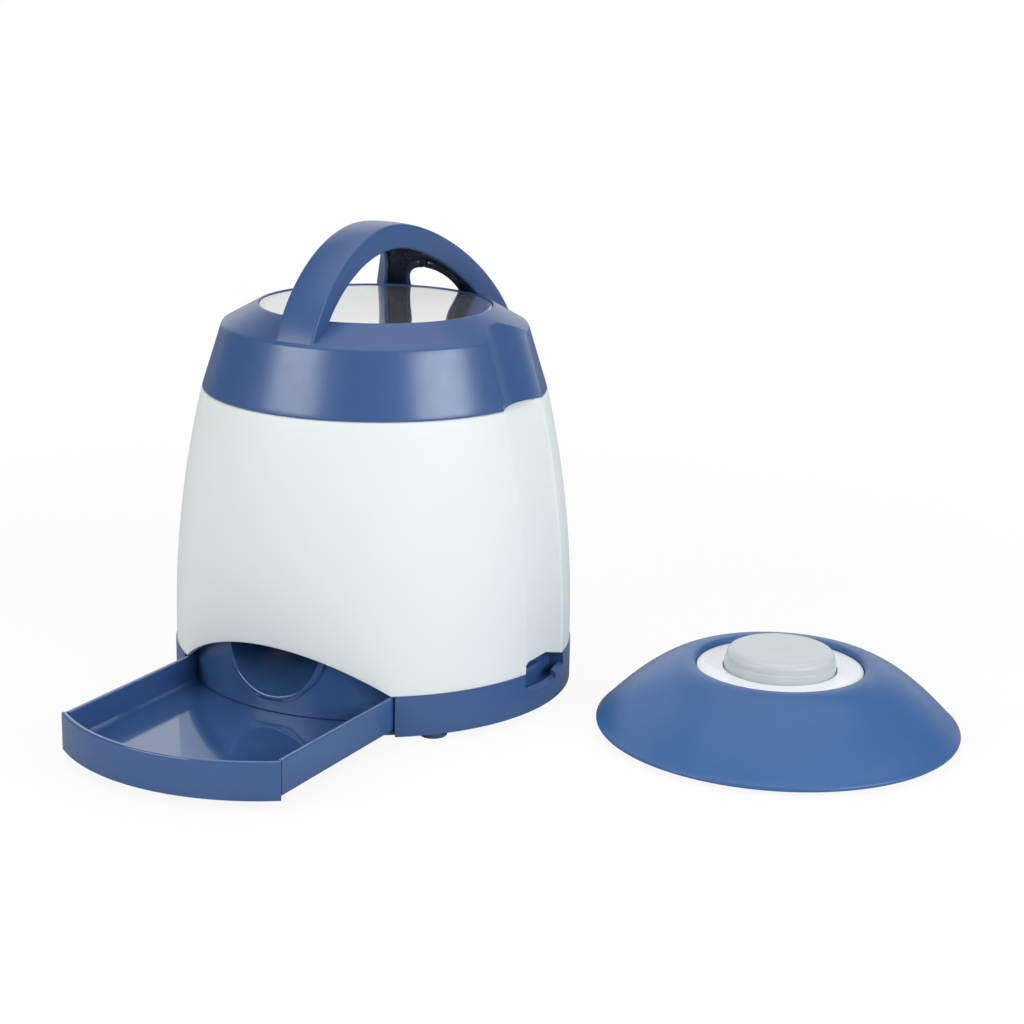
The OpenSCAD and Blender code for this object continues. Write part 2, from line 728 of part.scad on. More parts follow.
module power_slider() color([0.85, 0.86, 0.87]) translate([-slider_travel / 2, 0, 0]) {
  block(-slider_w / 2, slider_w / 2, housing_front - 4.6, base_r + 1.2, slider_z - 2, slider_z + 2);
}

// Lid: steep wall, sloping shoulder and a finger scoop in each side
module lid_solid() {
  rotate_extrude() polygon([[0, body_top], [body_top_r, body_top], [crease_r, crease_z],
    [window_r, rim_top], [0, rim_top]]);
}

module lid_hollow() {
  rotate_extrude() polygon([[0, body_top - 1], [body_top_r - lid_wall_dx + crease_inset / lid_wall_h,
      body_top - 1],
    [crease_r - wall, crease_z - wall * 0.58], [window_r - wall * 0.3,
        rim_top - lid_slope_dz + wall * 0.17],
    [0, rim_top - lid_slope_dz + wall * 0.17]]);
}

scoop_over = 35;

module scoops(r) {
  both_sides() translate([body_top_r - scoop_depth + scoop_r / cos(wall_lean + 1), 0, body_top])
    rotate([0, -wall_lean - 1, 0]) translate([0, 0, -scoop_over])
      cylinder(r = r, h = lid_wall_h + slope_h + 2 * scoop_over);
}

module handle_screw_places() {
  for (a = [180, leg_screw_at, -leg_screw_at]) rotate([0, 0, a]) translate([0, shoulder_r, 0]) children();
}

lid_boss_z = crease_z - 1.5;

module lid_ring() color(blue) difference() {
  union() {
    difference() {
      lid_solid();
      difference() {
        lid_hollow();
        scoops(scoop_r + wall);
      }
    }
    // Seat of the window
    translate([0, 0, window_seat - 2.4]) ring(window_r - 3, window_r + 1.6, 2.4);
    // Collar that drops into the hopper, on a web from the wall
    translate([0, 0, body_top - 5]) ring(hopper_r - 3, hopper_r - 0.6, 5 + 0.5 + web_t);
    translate([0, 0, web_z]) ring(hopper_r - 3, body_top_r - 2.2, web_t);
    // Bosses for the handle screws
    intersection() {
      handle_screw_places() translate([0, 0, lid_boss_z]) cylinder(r = 4.5, h = 12);
      lid_solid();
    }
  }
  scoops(scoop_r);
  translate([0, 0, window_seat]) cylinder(r = window_r, h = 10);
  translate([0, 0, crease_z - 10]) cylinder(r = window_r - 3, h = 30);
  handle_screw_places() translate([0, 0, lid_boss_z - 1]) cylinder(r = 1.5, h = 30);
}

module lid_window() color([0.8, 0.85, 0.85]) translate([0, 0,
    window_seat]) cylinder(r = window_r - 0.1, h = window_t);

module lid_seal() color([0.8, 0.8, 0.78]) translate([0, 0, hopper_top + run_gap]) ring(hopper_r - 0.3,
    hopper_r + hopper_t + 2, web_z - hopper_top - run_gap);

// Handle: a strap that arches from front to back and forks into two legs at the back
module dome(r, z) {
  steps = 10;
  translate([0, 0, z]) rotate([0, 90, 0]) rotate_extrude() polygon(concat([[0, -50]],
    [for (i = [-steps:steps]) let (x = 50 * i / steps) [sqrt(r * r - dome_flat * x * x), x]], [[0, 50]]));
}

module handle_plan(inset, z0, z1) {
  steps = 8;
  side = [for (i = [0:steps]) let (y = fork_y0 + (fork_y1 + 12 - fork_y0) * i / steps) [half_width(y) -
      inset, y]];
  back = [for (i = [steps:-1:0]) [-side[i][0], side[i][1]]];
  half = handle_w / 2 - inset;
  translate([0, 0, z0]) linear_extrude(z1 - z0)
    polygon(concat([[-half, -crease_r - 5], [half, -crease_r - 5]], side, back));
}

// Gap between the legs: arched on top, wider towards the back, grown by a margin m
module fork_hole(m) {
  function side(y) = fork_gap + m * 1.24 + fork_flare * (y - fork_gap_y);
  y0 = fork_gap_y - (fork_gap + m) / fork_flare;
  y1 = crease_r + 20;
  intersection() {
    translate([0, 0, crease_z - 20]) linear_extrude(60)
      polygon([[-side(y0), y0], [side(y0), y0], [side(y1), y1], [-side(y1), y1]]);
    translate([0, 20, fork_arch_z]) rotate([-90, 0, 0]) cylinder(r = fork_arch_r + m, h = crease_r + 20);
  }
}

// The hollow on the underside of the strap, from a depth a to a depth b
module strap_hollow(a, b) {
  difference() {
    intersection() {
      dome(dome_in_r + b, dome_in_z);
      handle_plan(channel_in, channel_z, handle_top);
    }
    dome(dome_in_r + a, dome_in_z);
    fork_hole(channel_in);
  }
}

module handle() color(blue) difference() {
  intersection() {
    dome(dome_out_r, dome_out_z);
    handle_plan(0, crease_z, handle_top + 5);
  }
  dome(dome_in_r, dome_in_z);
  lid_solid();
  fork_hole(0);
  strap_hollow(-1, channel_d);
  handle_screw_places() translate([0, 0, crease_z - 5]) cylinder(r = 1.5, h = 16);
}

module handle_insert() color(blue) strap_hollow(channel_d - insert_t, channel_d);

module handle_screws() color(steel) handle_screw_places() translate([0, 0, lid_boss_z]) screw(1.5, 12,
    2.8, 2);

// Remote
module remote() {
  translate([remote_x, remote_y, 0]) children();
}

module cover_post_places() {
  for (a = cover_post_at) rotate([0, 0, a]) translate([cover_post_ring, 0, 0]) children();
}

module remote_cover() color(blue) remote() {
  outer = [for (i = [0:cover_steps]) [cover_r(i / cover_steps), cover_z(i / cover_steps)]];
  inner = [for (i = [cover_steps - 1:-1:1]) [cover_r(i / cover_steps) - 1.5,
      cover_z(i / cover_steps) - cover_t]];
  rotate_extrude() polygon(concat([[remote_r - 0.8, pad_h]], outer,
    [[rim_r - 0.4, rim_z], [disc_r + 1.6, rim_z - 0.5], [disc_r + 0.8, rim_z - 1.2], [disc_r + gap,
        disc_top],
     [disc_r + gap, disc_under], [seat_r, disc_under], [seat_r, disc_under - 2.4], [rim_r,
         disc_under - 2.4]],
    inner, [[remote_r - 3, pad_h]]));
  intersection() {
    cover_post_places() difference() {
      translate([0, 0, plate_top]) cylinder(r = cover_post_r, h = rim_z);
      translate([0, 0, plate_top - 1]) cylinder(r = 1.3, h = 11);
    }
    rotate_extrude() polygon(concat([[0, pad_h]], [for (p = outer) [p[0] - 0.8, p[1] - 1]], [[0,
        rim_z - 1]]));
  }
}

module remote_disc() color(white) remote() translate([0, 0, disc_under]) ring(button_r + gap, disc_r,
    disc_t);

// Button: frosted cap with a hidden flange and a stem to the switch
module remote_button() color([0.8, 0.84, 0.82]) remote() {
  round_pts = [for (a = [0:15:90]) [button_r - button_round + button_round * cos(a),
    button_top - button_round + button_round * sin(a)]];
  rotate_extrude() polygon(concat([[flange_out, flange_top - flange_t], [flange_out, flange_top],
      [button_r, flange_top]],
    round_pts, [[0, button_top], [0, stem_z], [stem_r, stem_z], [stem_r, button_top - button_wall],
    [button_r - button_wall - 1, button_top - button_wall], [button_r - button_wall,
        button_top - button_wall - 1],
    [button_r - button_wall, flange_top - flange_t]]));
}

// Coil spring around the stem, swept as one tube
spring_sides = 8;
spring_rings = 12;

module button_spring() color(steel) remote() {
  n = spring_turns * spring_rings;
  z0 = pcb_top + spring_wire;
  z1 = button_top - button_wall - spring_wire;
  pts = [for (i = [0:n]) let (a = 360 * i / spring_rings, z = z0 + (z1 - z0) * i / n)
    for (j = [0:spring_sides - 1]) let (b = 360 * j / spring_sides, r = spring_r + spring_wire * cos(b))
      [r * cos(a), r * sin(a), z + spring_wire * sin(b)]];
  sides = [for (i = [0:n - 1]) for (j = [0:spring_sides - 1]) let (k = (j + 1) % spring_sides)
    [i * spring_sides + j, i * spring_sides + k, (i + 1) * spring_sides + k, (i + 1) * spring_sides + j]];
  tri = [for (q = sides) each [[q[0], q[1], q[2]], [q[0], q[2], q[3]]]];
  cap0 = [for (j = [1:spring_sides - 2]) [0, j + 1, j]];
  cap1 = [for (j = [1:spring_sides - 2]) [n * spring_sides, n * spring_sides + j,
      n * spring_sides + j + 1]];
  polyhedron(points = pts, faces = [for (f = concat(tri, cap0, cap1)) [f[2], f[1], f[0]]]);
}

module pcb_post_places() {
  for (a = [30, 150, 270]) rotate([0, 0, a]) translate([pcb_post_ring, 0, 0]) children();
}

module remote_board() color([0.1, 0.35, 0.2]) remote() difference() {
  translate([0, 0, pcb_z]) cylinder(r = pcb_r, h = pcb_t);
  pcb_post_places() translate([0, 0, pcb_z - 1]) cylinder(r = 1.3, h = pcb_t + 2);
}

module button_switch() color(dark) remote() {
  block(-6, 6, -6, 6, pcb_top, pcb_top + switch_h);
  translate([0, 0, pcb_top + switch_h - eps]) cylinder(r = 3.2, h = switch_top - pcb_top - switch_h + eps);
}

module status_led() color([0.9, 0.9, 0.85]) remote() translate([20, 0, pcb_top]) {
  cylinder(r = 2.4, h = 3);
  translate([0, 0, 3 - eps]) cylinder(r = 1.8, h = 1.4);
}

module remote_board_screws() color(steel) remote() pcb_post_places() translate([0, 0,
    pcb_top]) mirror([0, 0, 1])
  screw(1.2, 7, 2.2, 1.4);

// Underside plate with board posts and the battery opening
module remote_plate() color(blue) remote() difference() {
  union() {
    translate([0, 0, pad_h]) cylinder(r = remote_r - 5, h = plate_t);
    pcb_post_places() translate([0, 0, plate_top - eps]) cylinder(r = 3, h = pcb_post_h + eps);
  }
  pcb_post_places() translate([0, 0, plate_top]) cylinder(r = 1.2, h = pcb_post_h + 1);
  cover_post_places() {
    translate([0, 0, pad_h - 1]) cylinder(r = 1.5, h = plate_t + 2);
    translate([0, 0, pad_h - 1]) cylinder(r = 3, h = 2.2);
  }
  block(-tub_half + 1, tub_half - 1, tub_y0 + 0.8, tub_y1 - 0.8, pad_h - 1, plate_top + 1);
  block(-5, 5, tub_y1 - 2, tub_y1 + lug_len, pad_h - 1, plate_top + 1);
}

module remote_pads() color(dark) remote() for (a = [45:90:315]) rotate([0, 0, a])
  translate([remote_r - pad_inset, 0, 0]) cylinder(r = pad_r, h = pad_h);

module remote_screws() color(steel) remote() cover_post_places() translate([0, 0,
    pad_h + 1.2]) screw(1.3, 9.5, 2.7, 1.1);

module remote_tub() color(dark) remote() difference() {
  union() {
    block(-tub_half - tub_t, tub_half + tub_t, tub_y0 - tub_t, tub_y1 + tub_t, plate_top, tub_top + tub_t);
    block(-5, 5, tub_y1, tub_y1 + lug_len + 1, plate_top, plate_top + 6);
  }
  block(-tub_half, tub_half, tub_y0, tub_y1, plate_top - 1, tub_top);
  translate([0, tub_y1 + 3.8, plate_top - 1]) cylinder(r = 1.2, h = 6);
}

module remote_cells() color([0.2, 0.35, 0.3]) remote() for (y = aaa_y) translate([-aaa_len / 2, y,
    aaa_z]) rotate([0, 90, 0])
  cylinder(r = aaa_r, h = aaa_len);

module remote_contacts() color(steel) remote() both_sides()
  block(aaa_len / 2, tub_half, tub_y0 + 1, tub_y1 - 1, plate_top + 1.4, tub_top - 1);

module remote_door() color(blue) remote() difference() {
  union() {
    block(-tub_half + 1 + gap, tub_half - 1 - gap, tub_y0 + 0.8 + gap, tub_y1 - 0.8 - gap, pad_h,
        plate_top);
    block(-5 + gap, 5 - gap, tub_y1 - 3, tub_y1 + lug_len - gap, pad_h, plate_top);
  }
  translate([0, tub_y1 + 3.8, pad_h - 1]) cylinder(r = 1.4, h = plate_t + 2);
  translate([0, tub_y1 + 3.8, pad_h - 1]) cylinder(r = 2.3, h = 2.1);
}

module remote_door_screw() color(steel) remote() translate([0, tub_y1 + 3.8, pad_h + 1.1]) screw(1.2,
    5, 2.2, 1);

base_shell();
rubber_feet();
base_screws();
latch_hooks();
tray();
body_shell();
outlet_chute();
chute_screws();
hopper();
hopper_screws();
shaft_bush();
treat_wheel();
wheel_shaft();
wheel_gear();
motor_pinion();
motor_shaft();
gear_motor();
gear_deck();
deck_screws();
battery_box();
battery_cells();
battery_contacts();
battery_door();
door_screw();
main_board();
board_parts();
board_screws();
loudspeaker();
switch_housing();
power_slider();
lid_ring();
lid_window();
lid_seal();
handle();
handle_insert();
handle_screws();
remote_cover();
remote_disc();
remote_button();
button_spring();
remote_board();
button_switch();
status_led();
remote_board_screws();
remote_plate();
remote_pads();
remote_screws();
remote_tub();
remote_cells();
remote_contacts();
remote_door();
remote_door_screw();
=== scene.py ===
# %% [markdown]
# # A treat dispenser for dogs, and its remote button
# The toy has two units. The dispenser is a barrel with a blue base, a pale body, a blue lid with a
# clear window and a forked handle, and a tray that pulls out at the front. The remote is a saucer
# with one big frosted button.
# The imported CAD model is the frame: it gives every place and every moving body. This lesson dresses it.
# Lengths below are in millimetres, as on the drawing, and become metres when a mesh is made.

# %% Load the frame
import json
import math

import bmesh
import bpy
import mathutils
import numpy as np
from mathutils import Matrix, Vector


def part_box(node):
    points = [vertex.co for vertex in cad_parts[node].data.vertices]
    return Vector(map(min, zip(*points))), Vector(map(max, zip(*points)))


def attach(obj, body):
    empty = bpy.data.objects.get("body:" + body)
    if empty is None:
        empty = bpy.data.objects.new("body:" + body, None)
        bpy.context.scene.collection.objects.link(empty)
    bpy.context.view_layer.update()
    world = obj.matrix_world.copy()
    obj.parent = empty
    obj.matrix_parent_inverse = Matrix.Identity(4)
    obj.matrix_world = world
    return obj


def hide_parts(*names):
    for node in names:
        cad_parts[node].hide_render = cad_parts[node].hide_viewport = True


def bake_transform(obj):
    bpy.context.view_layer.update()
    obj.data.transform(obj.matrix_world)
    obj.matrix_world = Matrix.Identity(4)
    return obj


MM = 0.001
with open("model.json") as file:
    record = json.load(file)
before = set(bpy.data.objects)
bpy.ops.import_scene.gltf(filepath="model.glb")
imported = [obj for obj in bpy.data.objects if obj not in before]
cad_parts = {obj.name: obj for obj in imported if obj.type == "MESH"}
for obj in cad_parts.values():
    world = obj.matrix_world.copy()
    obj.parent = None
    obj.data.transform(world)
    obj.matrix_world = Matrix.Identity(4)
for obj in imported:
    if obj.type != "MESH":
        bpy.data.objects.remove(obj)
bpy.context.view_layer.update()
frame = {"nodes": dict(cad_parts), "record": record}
nodes = frame["nodes"]

# %% [markdown]
# ## The camera
# The photograph was taken from the front right, a little above the lid. A pinhole camera was fitted
# to the edges of base, lid, tray and remote, and its eye, pitch, roll and focal length are used here.
# The rotation is built from three unit vectors, because a small roll is easier to state that way
# than as Euler angles.

# %% Camera
EYE = np.array([529.2, -867.2, 355.7])
AHEAD = np.array([-0.4648, 0.8854, 0.0])
PITCH = math.radians(15.06)
ROLL = math.radians(1.22)
FOCAL_PX = 2198.6
IMAGE_PX = 1024
SENSOR = 36.0

ahead = AHEAD / np.linalg.norm(AHEAD)
sky = np.array([0.0, 0.0, 1.0])
view_line = ahead * math.cos(PITCH) - sky * math.sin(PITCH)
up_level = ahead * math.sin(PITCH) + sky * math.cos(PITCH)
right_level = np.cross(ahead, sky)
right = right_level * math.cos(ROLL) + up_level * math.sin(ROLL)
upward = up_level * math.cos(ROLL) - right_level * math.sin(ROLL)

camera_data = bpy.data.cameras.new("camera")
camera_data.sensor_fit = "HORIZONTAL"
camera_data.sensor_width = SENSOR
camera_data.lens = FOCAL_PX / IMAGE_PX * SENSOR
camera_data.clip_end = 50.0
camera = bpy.data.objects.new("camera", camera_data)
pose = np.eye(4)
pose[:3, 0] = right
pose[:3, 1] = upward
pose[:3, 2] = -view_line
pose[:3, 3] = EYE * MM
camera.matrix_world = mathutils.Matrix(pose.tolist())
bpy.context.collection.objects.link(camera)
bpy.context.scene.camera = camera
print("camera lens", round(camera_data.lens, 2), "mm")

# %% [markdown]
# ## Light, floor and background
# The photograph is a studio shot on white: two broad soft lamps left and right of the camera, which
# show as upright bands on the lid, a soft one above, and hardly any shadow. The white background is
# only what the camera, mirrors and clear parts see, so it adds no light to the toy. Three small
# helpers join the nodes that tell such rays apart, because world and floor both need them.

# %% Helpers for nodes
scene = bpy.context.scene
scene.view_settings.view_transform = "Standard"


def math_node(tree, operation, first, second):
    """A Math node over two outputs; returns its own output."""
    made = tree.nodes.new("ShaderNodeMath")
    made.operation = operation
    tree.links.new(first, made.inputs[0])
    tree.links.new(second, made.inputs[1])
    return made.outputs[0]


def ramp_node(tree, value, low, high, to_low, to_high):
    """A Map Range node that takes low..high to to_low..to_high and stays within."""
    made = tree.nodes.new("ShaderNodeMapRange")
    for socket, number in zip(("From Min", "From Max", "To Min", "To Max"), (low, high, to_low, to_high)):
        made.inputs[socket].default_value = number
    tree.links.new(value, made.inputs["Value"])
    return made.outputs["Result"]


def white_share(tree, for_mirrors):
    """1 for camera rays; glossy and transmitted rays get the share for_mirrors, light on surfaces 0."""
    path = tree.nodes.new("ShaderNodeLightPath")
    mirror = math_node(tree, "MAXIMUM", path.outputs["Is Glossy Ray"], path.outputs["Is Transmission Ray"])
    mirror = math_node(tree, "MULTIPLY", mirror, for_mirrors)
    return math_node(tree, "MAXIMUM", path.outputs["Is Camera Ray"], mirror)


print("view transform:", scene.view_settings.view_transform)

# %% [markdown]
# ### The world
# It gives an even light from all sides. An image of a studio could do that, but two plain backgrounds
# are enough here: a dim one that lights the toy, and a white one. Mirrors see the white only behind the
# toy, as in a studio, where the room behind the camera is darker.

# %% World
WORLD_LIGHT = 0.42
ROOM_LIGHT = 0.10
WHITE_FROM = 0.64
WHITE_FULL = 0.9

world = bpy.data.worlds.new("studio")
scene.world = world
world.use_nodes = True
tree = world.node_tree
tree.nodes.clear()
lit = tree.nodes.new("ShaderNodeBackground")
lit.inputs["Color"].default_value = (0.97, 0.985, 1.0, 1.0)
white = tree.nodes.new("ShaderNodeBackground")
white.inputs["Color"].default_value = (1.0, 1.0, 1.0, 1.0)
white.inputs["Strength"].default_value = 1.0
rays = tree.nodes.new("ShaderNodeLightPath")
level = ramp_node(tree, rays.outputs["Is Glossy Ray"], 0.0, 1.0, WORLD_LIGHT, ROOM_LIGHT)
tree.links.new(level, lit.inputs["Strength"])
way = tree.nodes.new("ShaderNodeTexCoord")
backward = tree.nodes.new("ShaderNodeVectorMath")
backward.operation = "DOT_PRODUCT"
backward.inputs[1].default_value = tuple(ahead)
tree.links.new(way.outputs["Generated"], backward.inputs[0])
behind = ramp_node(tree, backward.outputs["Value"], WHITE_FROM, WHITE_FULL, 0.0, 1.0)
mix = tree.nodes.new("ShaderNodeMixShader")
world_out = tree.nodes.new("ShaderNodeOutputWorld")
tree.links.new(white_share(tree, behind), mix.inputs["Fac"])
tree.links.new(lit.outputs[0], mix.inputs[1])
tree.links.new(white.outputs[0], mix.inputs[2])
tree.links.new(mix.outputs[0], world_out.inputs["Surface"])
print("world light", WORLD_LIGHT, "and", ROOM_LIGHT, "for mirrors")

# %% [markdown]
# ### The lamps
# Broad lamps give soft edges to light and shade. Point lamps would be simpler, but they leave hard
# sparks on moulded plastic, so each lamp is a rectangle that faces the toy.


# %% Lamps
def area_lamp(name, place, target, size, watts, tint):
    """A rectangular lamp at place that faces target; size is (width, height)."""
    data = bpy.data.lights.new(name, "AREA")
    data.shape = "RECTANGLE"
    data.size, data.size_y = size
    data.energy = watts
    data.color = tint
    lamp = bpy.data.objects.new(name, data)
    lamp.location = place
    aim = mathutils.Vector(target) - mathutils.Vector(place)
    lamp.rotation_euler = aim.to_track_quat("-Z", "Y").to_euler()
    bpy.context.collection.objects.link(lamp)
    return lamp


area_lamp("key_left", (-0.62, -1.25, 0.7), (0.05, 0.0, 0.1), (0.9, 0.42), 7.4, (1.0, 0.99, 0.97))
area_lamp("fill_right", (1.44, -0.3, 0.65), (0.1, 0.0, 0.08), (1.0, 0.42), 10.7, (0.97, 0.99, 1.0))
area_lamp("top_soft", (0.1, 0.1, 1.7), (0.1, 0.0, 0.0), (2.0, 2.0), 10.5, (1.0, 1.0, 1.0))
print("lamps:", sorted(light.name for light in bpy.data.lights))

# %% [markdown]
# ### The floor
# The toy stands on white paper. A plain white plane would turn grey with distance, so the paper fades
# into the background's white far away and keeps a faint shadow close by. Mirrors see a darker paper,
# or the blue plastic would look washed out near the ground.

# %% Floor
FLOOR_HALF = 6.0
FADE_FROM = 0.3
FADE_FULL = 0.7
WHITE_NEAR = 0.9
PAPER = 0.9
PAPER_GLOSS = 0.38

floor_mesh = bpy.data.meshes.new("floor")
corners = np.array([[-1, -1, 0], [1, -1, 0], [1, 1, 0], [-1, 1, 0]], float) * FLOOR_HALF
floor_mesh.from_pydata(corners.tolist(), [], [(0, 1, 2, 3)])
floor = bpy.data.objects.new("floor", floor_mesh)
bpy.context.collection.objects.link(floor)
floor_mat = bpy.data.materials.new("studio_floor")
floor_mat.use_nodes = True
tree = floor_mat.node_tree
tree.nodes.clear()
paper = tree.nodes.new("ShaderNodeBsdfDiffuse")
glow = tree.nodes.new("ShaderNodeEmission")
glow.inputs["Strength"].default_value = 1.0
place = tree.nodes.new("ShaderNodeTexCoord")
reach = tree.nodes.new("ShaderNodeVectorMath")
reach.operation = "LENGTH"
tree.links.new(place.outputs["Object"], reach.inputs[0])
fade = ramp_node(tree, reach.outputs["Value"], FADE_FROM, FADE_FULL, WHITE_NEAR, 1.0)
mix = tree.nodes.new("ShaderNodeMixShader")
floor_out = tree.nodes.new("ShaderNodeOutputMaterial")
path = tree.nodes.new("ShaderNodeLightPath")
direct = math_node(tree, "MAXIMUM", path.outputs["Is Camera Ray"], path.outputs["Is Transmission Ray"])
paper_level = ramp_node(tree, path.outputs["Is Glossy Ray"], 0.0, 1.0, PAPER, PAPER_GLOSS)
tree.links.new(paper_level, paper.inputs["Color"])
tree.links.new(math_node(tree, "MULTIPLY", direct, fade), mix.inputs["Fac"])
tree.links.new(paper.outputs[0], mix.inputs[1])
tree.links.new(glow.outputs[0], mix.inputs[2])
tree.links.new(mix.outputs[0], floor_out.inputs["Surface"])
floor_mesh.materials.append(floor_mat)
print("floor half width", FLOOR_HALF, "m")

# %% [markdown]
# ## Finishes
# Nearly everything is injection-moulded plastic. A moulding is never one flat colour: the pigment
# drifts a little over some centimetres, and the mould's texture breaks up the gloss. So one function
# makes a plastic from three noises on Object coordinates: a wide one for the pigment, a fine one for
# the roughness and a very fine one for the bump. Values that don't vary go straight to the shader.

# %% Moulded plastic
PIGMENT_GRAIN = 22.0
BUMP_HEIGHT = 0.0002


def moulded(name, colour, drift=0.06, rough=(0.3, 0.4), grain=1400.0, bump=0.06, **sockets):
    """Plastic: colour drifts by the share drift, roughness runs between the two values of rough."""
    mat = bpy.data.materials.new(name)
    mat.use_nodes = True
    tree = mat.node_tree
    tree.nodes.clear()
    out = tree.nodes.new("ShaderNodeOutputMaterial")
    shader = tree.nodes.new("ShaderNodeBsdfPrincipled")
    place = tree.nodes.new("ShaderNodeTexCoord")
    wide = tree.nodes.new("ShaderNodeTexNoise")
    wide.inputs["Scale"].default_value = PIGMENT_GRAIN
    wide.inputs["Detail"].default_value = 3.0
    ramp = tree.nodes.new("ShaderNodeValToRGB")
    low = [c * (1.0 - drift) for c in colour]
    high = [min(1.0, c * (1.0 + drift)) for c in colour]
    ramp.color_ramp.elements[0].position = 0.3
    ramp.color_ramp.elements[0].color = (*low, 1.0)
    ramp.color_ramp.elements[1].position = 0.7
    ramp.color_ramp.elements[1].color = (*high, 1.0)
    fine = tree.nodes.new("ShaderNodeTexNoise")
    fine.inputs["Scale"].default_value = grain * 0.25
    fine.inputs["Detail"].default_value = 4.0
    gloss = tree.nodes.new("ShaderNodeMapRange")
    gloss.clamp = False
    gloss.inputs["From Min"].default_value = 0.25
    gloss.inputs["From Max"].default_value = 0.75
    gloss.inputs["To Min"].default_value = rough[0]
    gloss.inputs["To Max"].default_value = rough[1]
    skin = tree.nodes.new("ShaderNodeTexNoise")
    skin.inputs["Scale"].default_value = grain
    skin.inputs["Detail"].default_value = 2.0
    relief = tree.nodes.new("ShaderNodeBump")
    relief.inputs["Strength"].default_value = bump
    relief.inputs["Distance"].default_value = BUMP_HEIGHT
    for tex in (wide, fine, skin):
        tree.links.new(place.outputs["Object"], tex.inputs["Vector"])
    tree.links.new(wide.outputs["Fac"], ramp.inputs["Fac"])
    tree.links.new(ramp.outputs["Color"], shader.inputs["Base Color"])
    tree.links.new(fine.outputs["Fac"], gloss.inputs["Value"])
    tree.links.new(gloss.outputs["Result"], shader.inputs["Roughness"])
    tree.links.new(skin.outputs["Fac"], relief.inputs["Height"])
    tree.links.new(relief.outputs["Normal"], shader.inputs["Normal"])
    tree.links.new(shader.outputs[0], out.inputs["Surface"])
    for socket, value in sockets.items():
        shader.inputs[socket.replace("_", " ")].default_value = value
    return mat


# %% [markdown]
# ### The plastics
# Each material slot of the record gets one plastic. The values are the colour, how far it drifts, the
# range of roughness, the grain per metre and the strength of the bump.

# %% Plastics by slot
BLUE = (0.040, 0.101, 0.265)
SOFT_BLUE = (0.037, 0.125, 0.335)
PALE = (0.772, 0.826, 0.815)

finish = {
    "blue_plastic": moulded("satin_blue", BLUE, 0.05, (0.28, 0.33), 700.0, 0.006, IOR=1.66),
    "blue_soft": moulded("soft_touch_blue", SOFT_BLUE, 0.05, (0.33, 0.40), 900.0, 0.02, IOR=1.6),
    "body_white": moulded("pale_body", PALE, 0.010, (0.46, 0.48), 160.0, 0.0015),
    "rubber_dark": moulded("foot_rubber", (0.045, 0.085, 0.19), 0.12, (0.6, 0.8), 500.0, 0.1),
    "seal_rubber": moulded("seal_silicone", (0.62, 0.63, 0.61), 0.04, (0.5, 0.65), 900.0, 0.1),
    "gear_white": moulded("gear_nylon", (0.78, 0.77, 0.72), 0.04, (0.4, 0.55), 1600.0, 0.08),
    "dark_plastic": moulded("inner_black", (0.022, 0.022, 0.025), 0.15, (0.45, 0.6), 1400.0, 0.15),
    "pale_plastic": moulded("slider_grey", (0.66, 0.68, 0.68), 0.04, (0.3, 0.42), 1600.0, 0.05),
    "board_green": moulded("solder_mask", (0.02, 0.14, 0.05), 0.25, (0.25, 0.4), 400.0, 0.15),
    "cell_wrap": moulded("cell_sleeve", (0.07, 0.15, 0.11), 0.1, (0.2, 0.32), 700.0, 0.04),
}
print("plastics:", len(finish))

# %% [markdown]
# ### Metal, the clear window and the frosted button
# Turned and stamped metal shows fine lines, so its noise is stretched along one axis. The window is
# polished clear plastic, whose faint smears only show in the gloss. The button lets light in but
# scatters it: part of the light goes through a rough surface and the rest comes back white.


# %% Metal and clear plastics
def brushed(name, colour, rough):
    """Metal with fine lines: a noise squeezed along Z drives roughness and bump."""
    mat = moulded(name, colour, 0.08, rough, 800.0, 0.1, Metallic=1.0)
    tree = mat.node_tree
    place = next(n for n in tree.nodes if n.type == "TEX_COORD")
    squeeze = tree.nodes.new("ShaderNodeMapping")
    squeeze.inputs["Scale"].default_value = (0.3, 0.3, 6.0)
    tree.links.new(place.outputs["Object"], squeeze.inputs["Vector"])
    for tex in [n for n in tree.nodes if n.type == "TEX_NOISE"]:
        tree.links.new(squeeze.outputs["Vector"], tex.inputs["Vector"])
    return mat


finish["steel"] = brushed("zinc_steel", (0.6, 0.61, 0.63), (0.22, 0.38))
finish["brass"] = brushed("turned_brass", (0.72, 0.52, 0.2), (0.2, 0.34))
finish["clear_plastic"] = moulded("clear_window", (0.93, 0.95, 0.98), 0.01, (0.015, 0.04), 60.0, 0.001,
                                  Transmission_Weight=0.85, IOR=1.49,
                                  Coat_Weight=1.0, Coat_Roughness=0.02, Coat_IOR=2.0)
finish["frosted_plastic"] = moulded("frosted_button", (0.75, 0.82, 0.83), 0.05, (0.14, 0.22), 400.0, 0.01,
                                    Transmission_Weight=0.3, IOR=1.45)

for part in frame["record"]["subparts"]:
    shown = nodes[part["node"]]
    shown.data.materials.clear()
    shown.data.materials.append(finish[part["material_slot"]])
print("finishes:", sorted(finish))
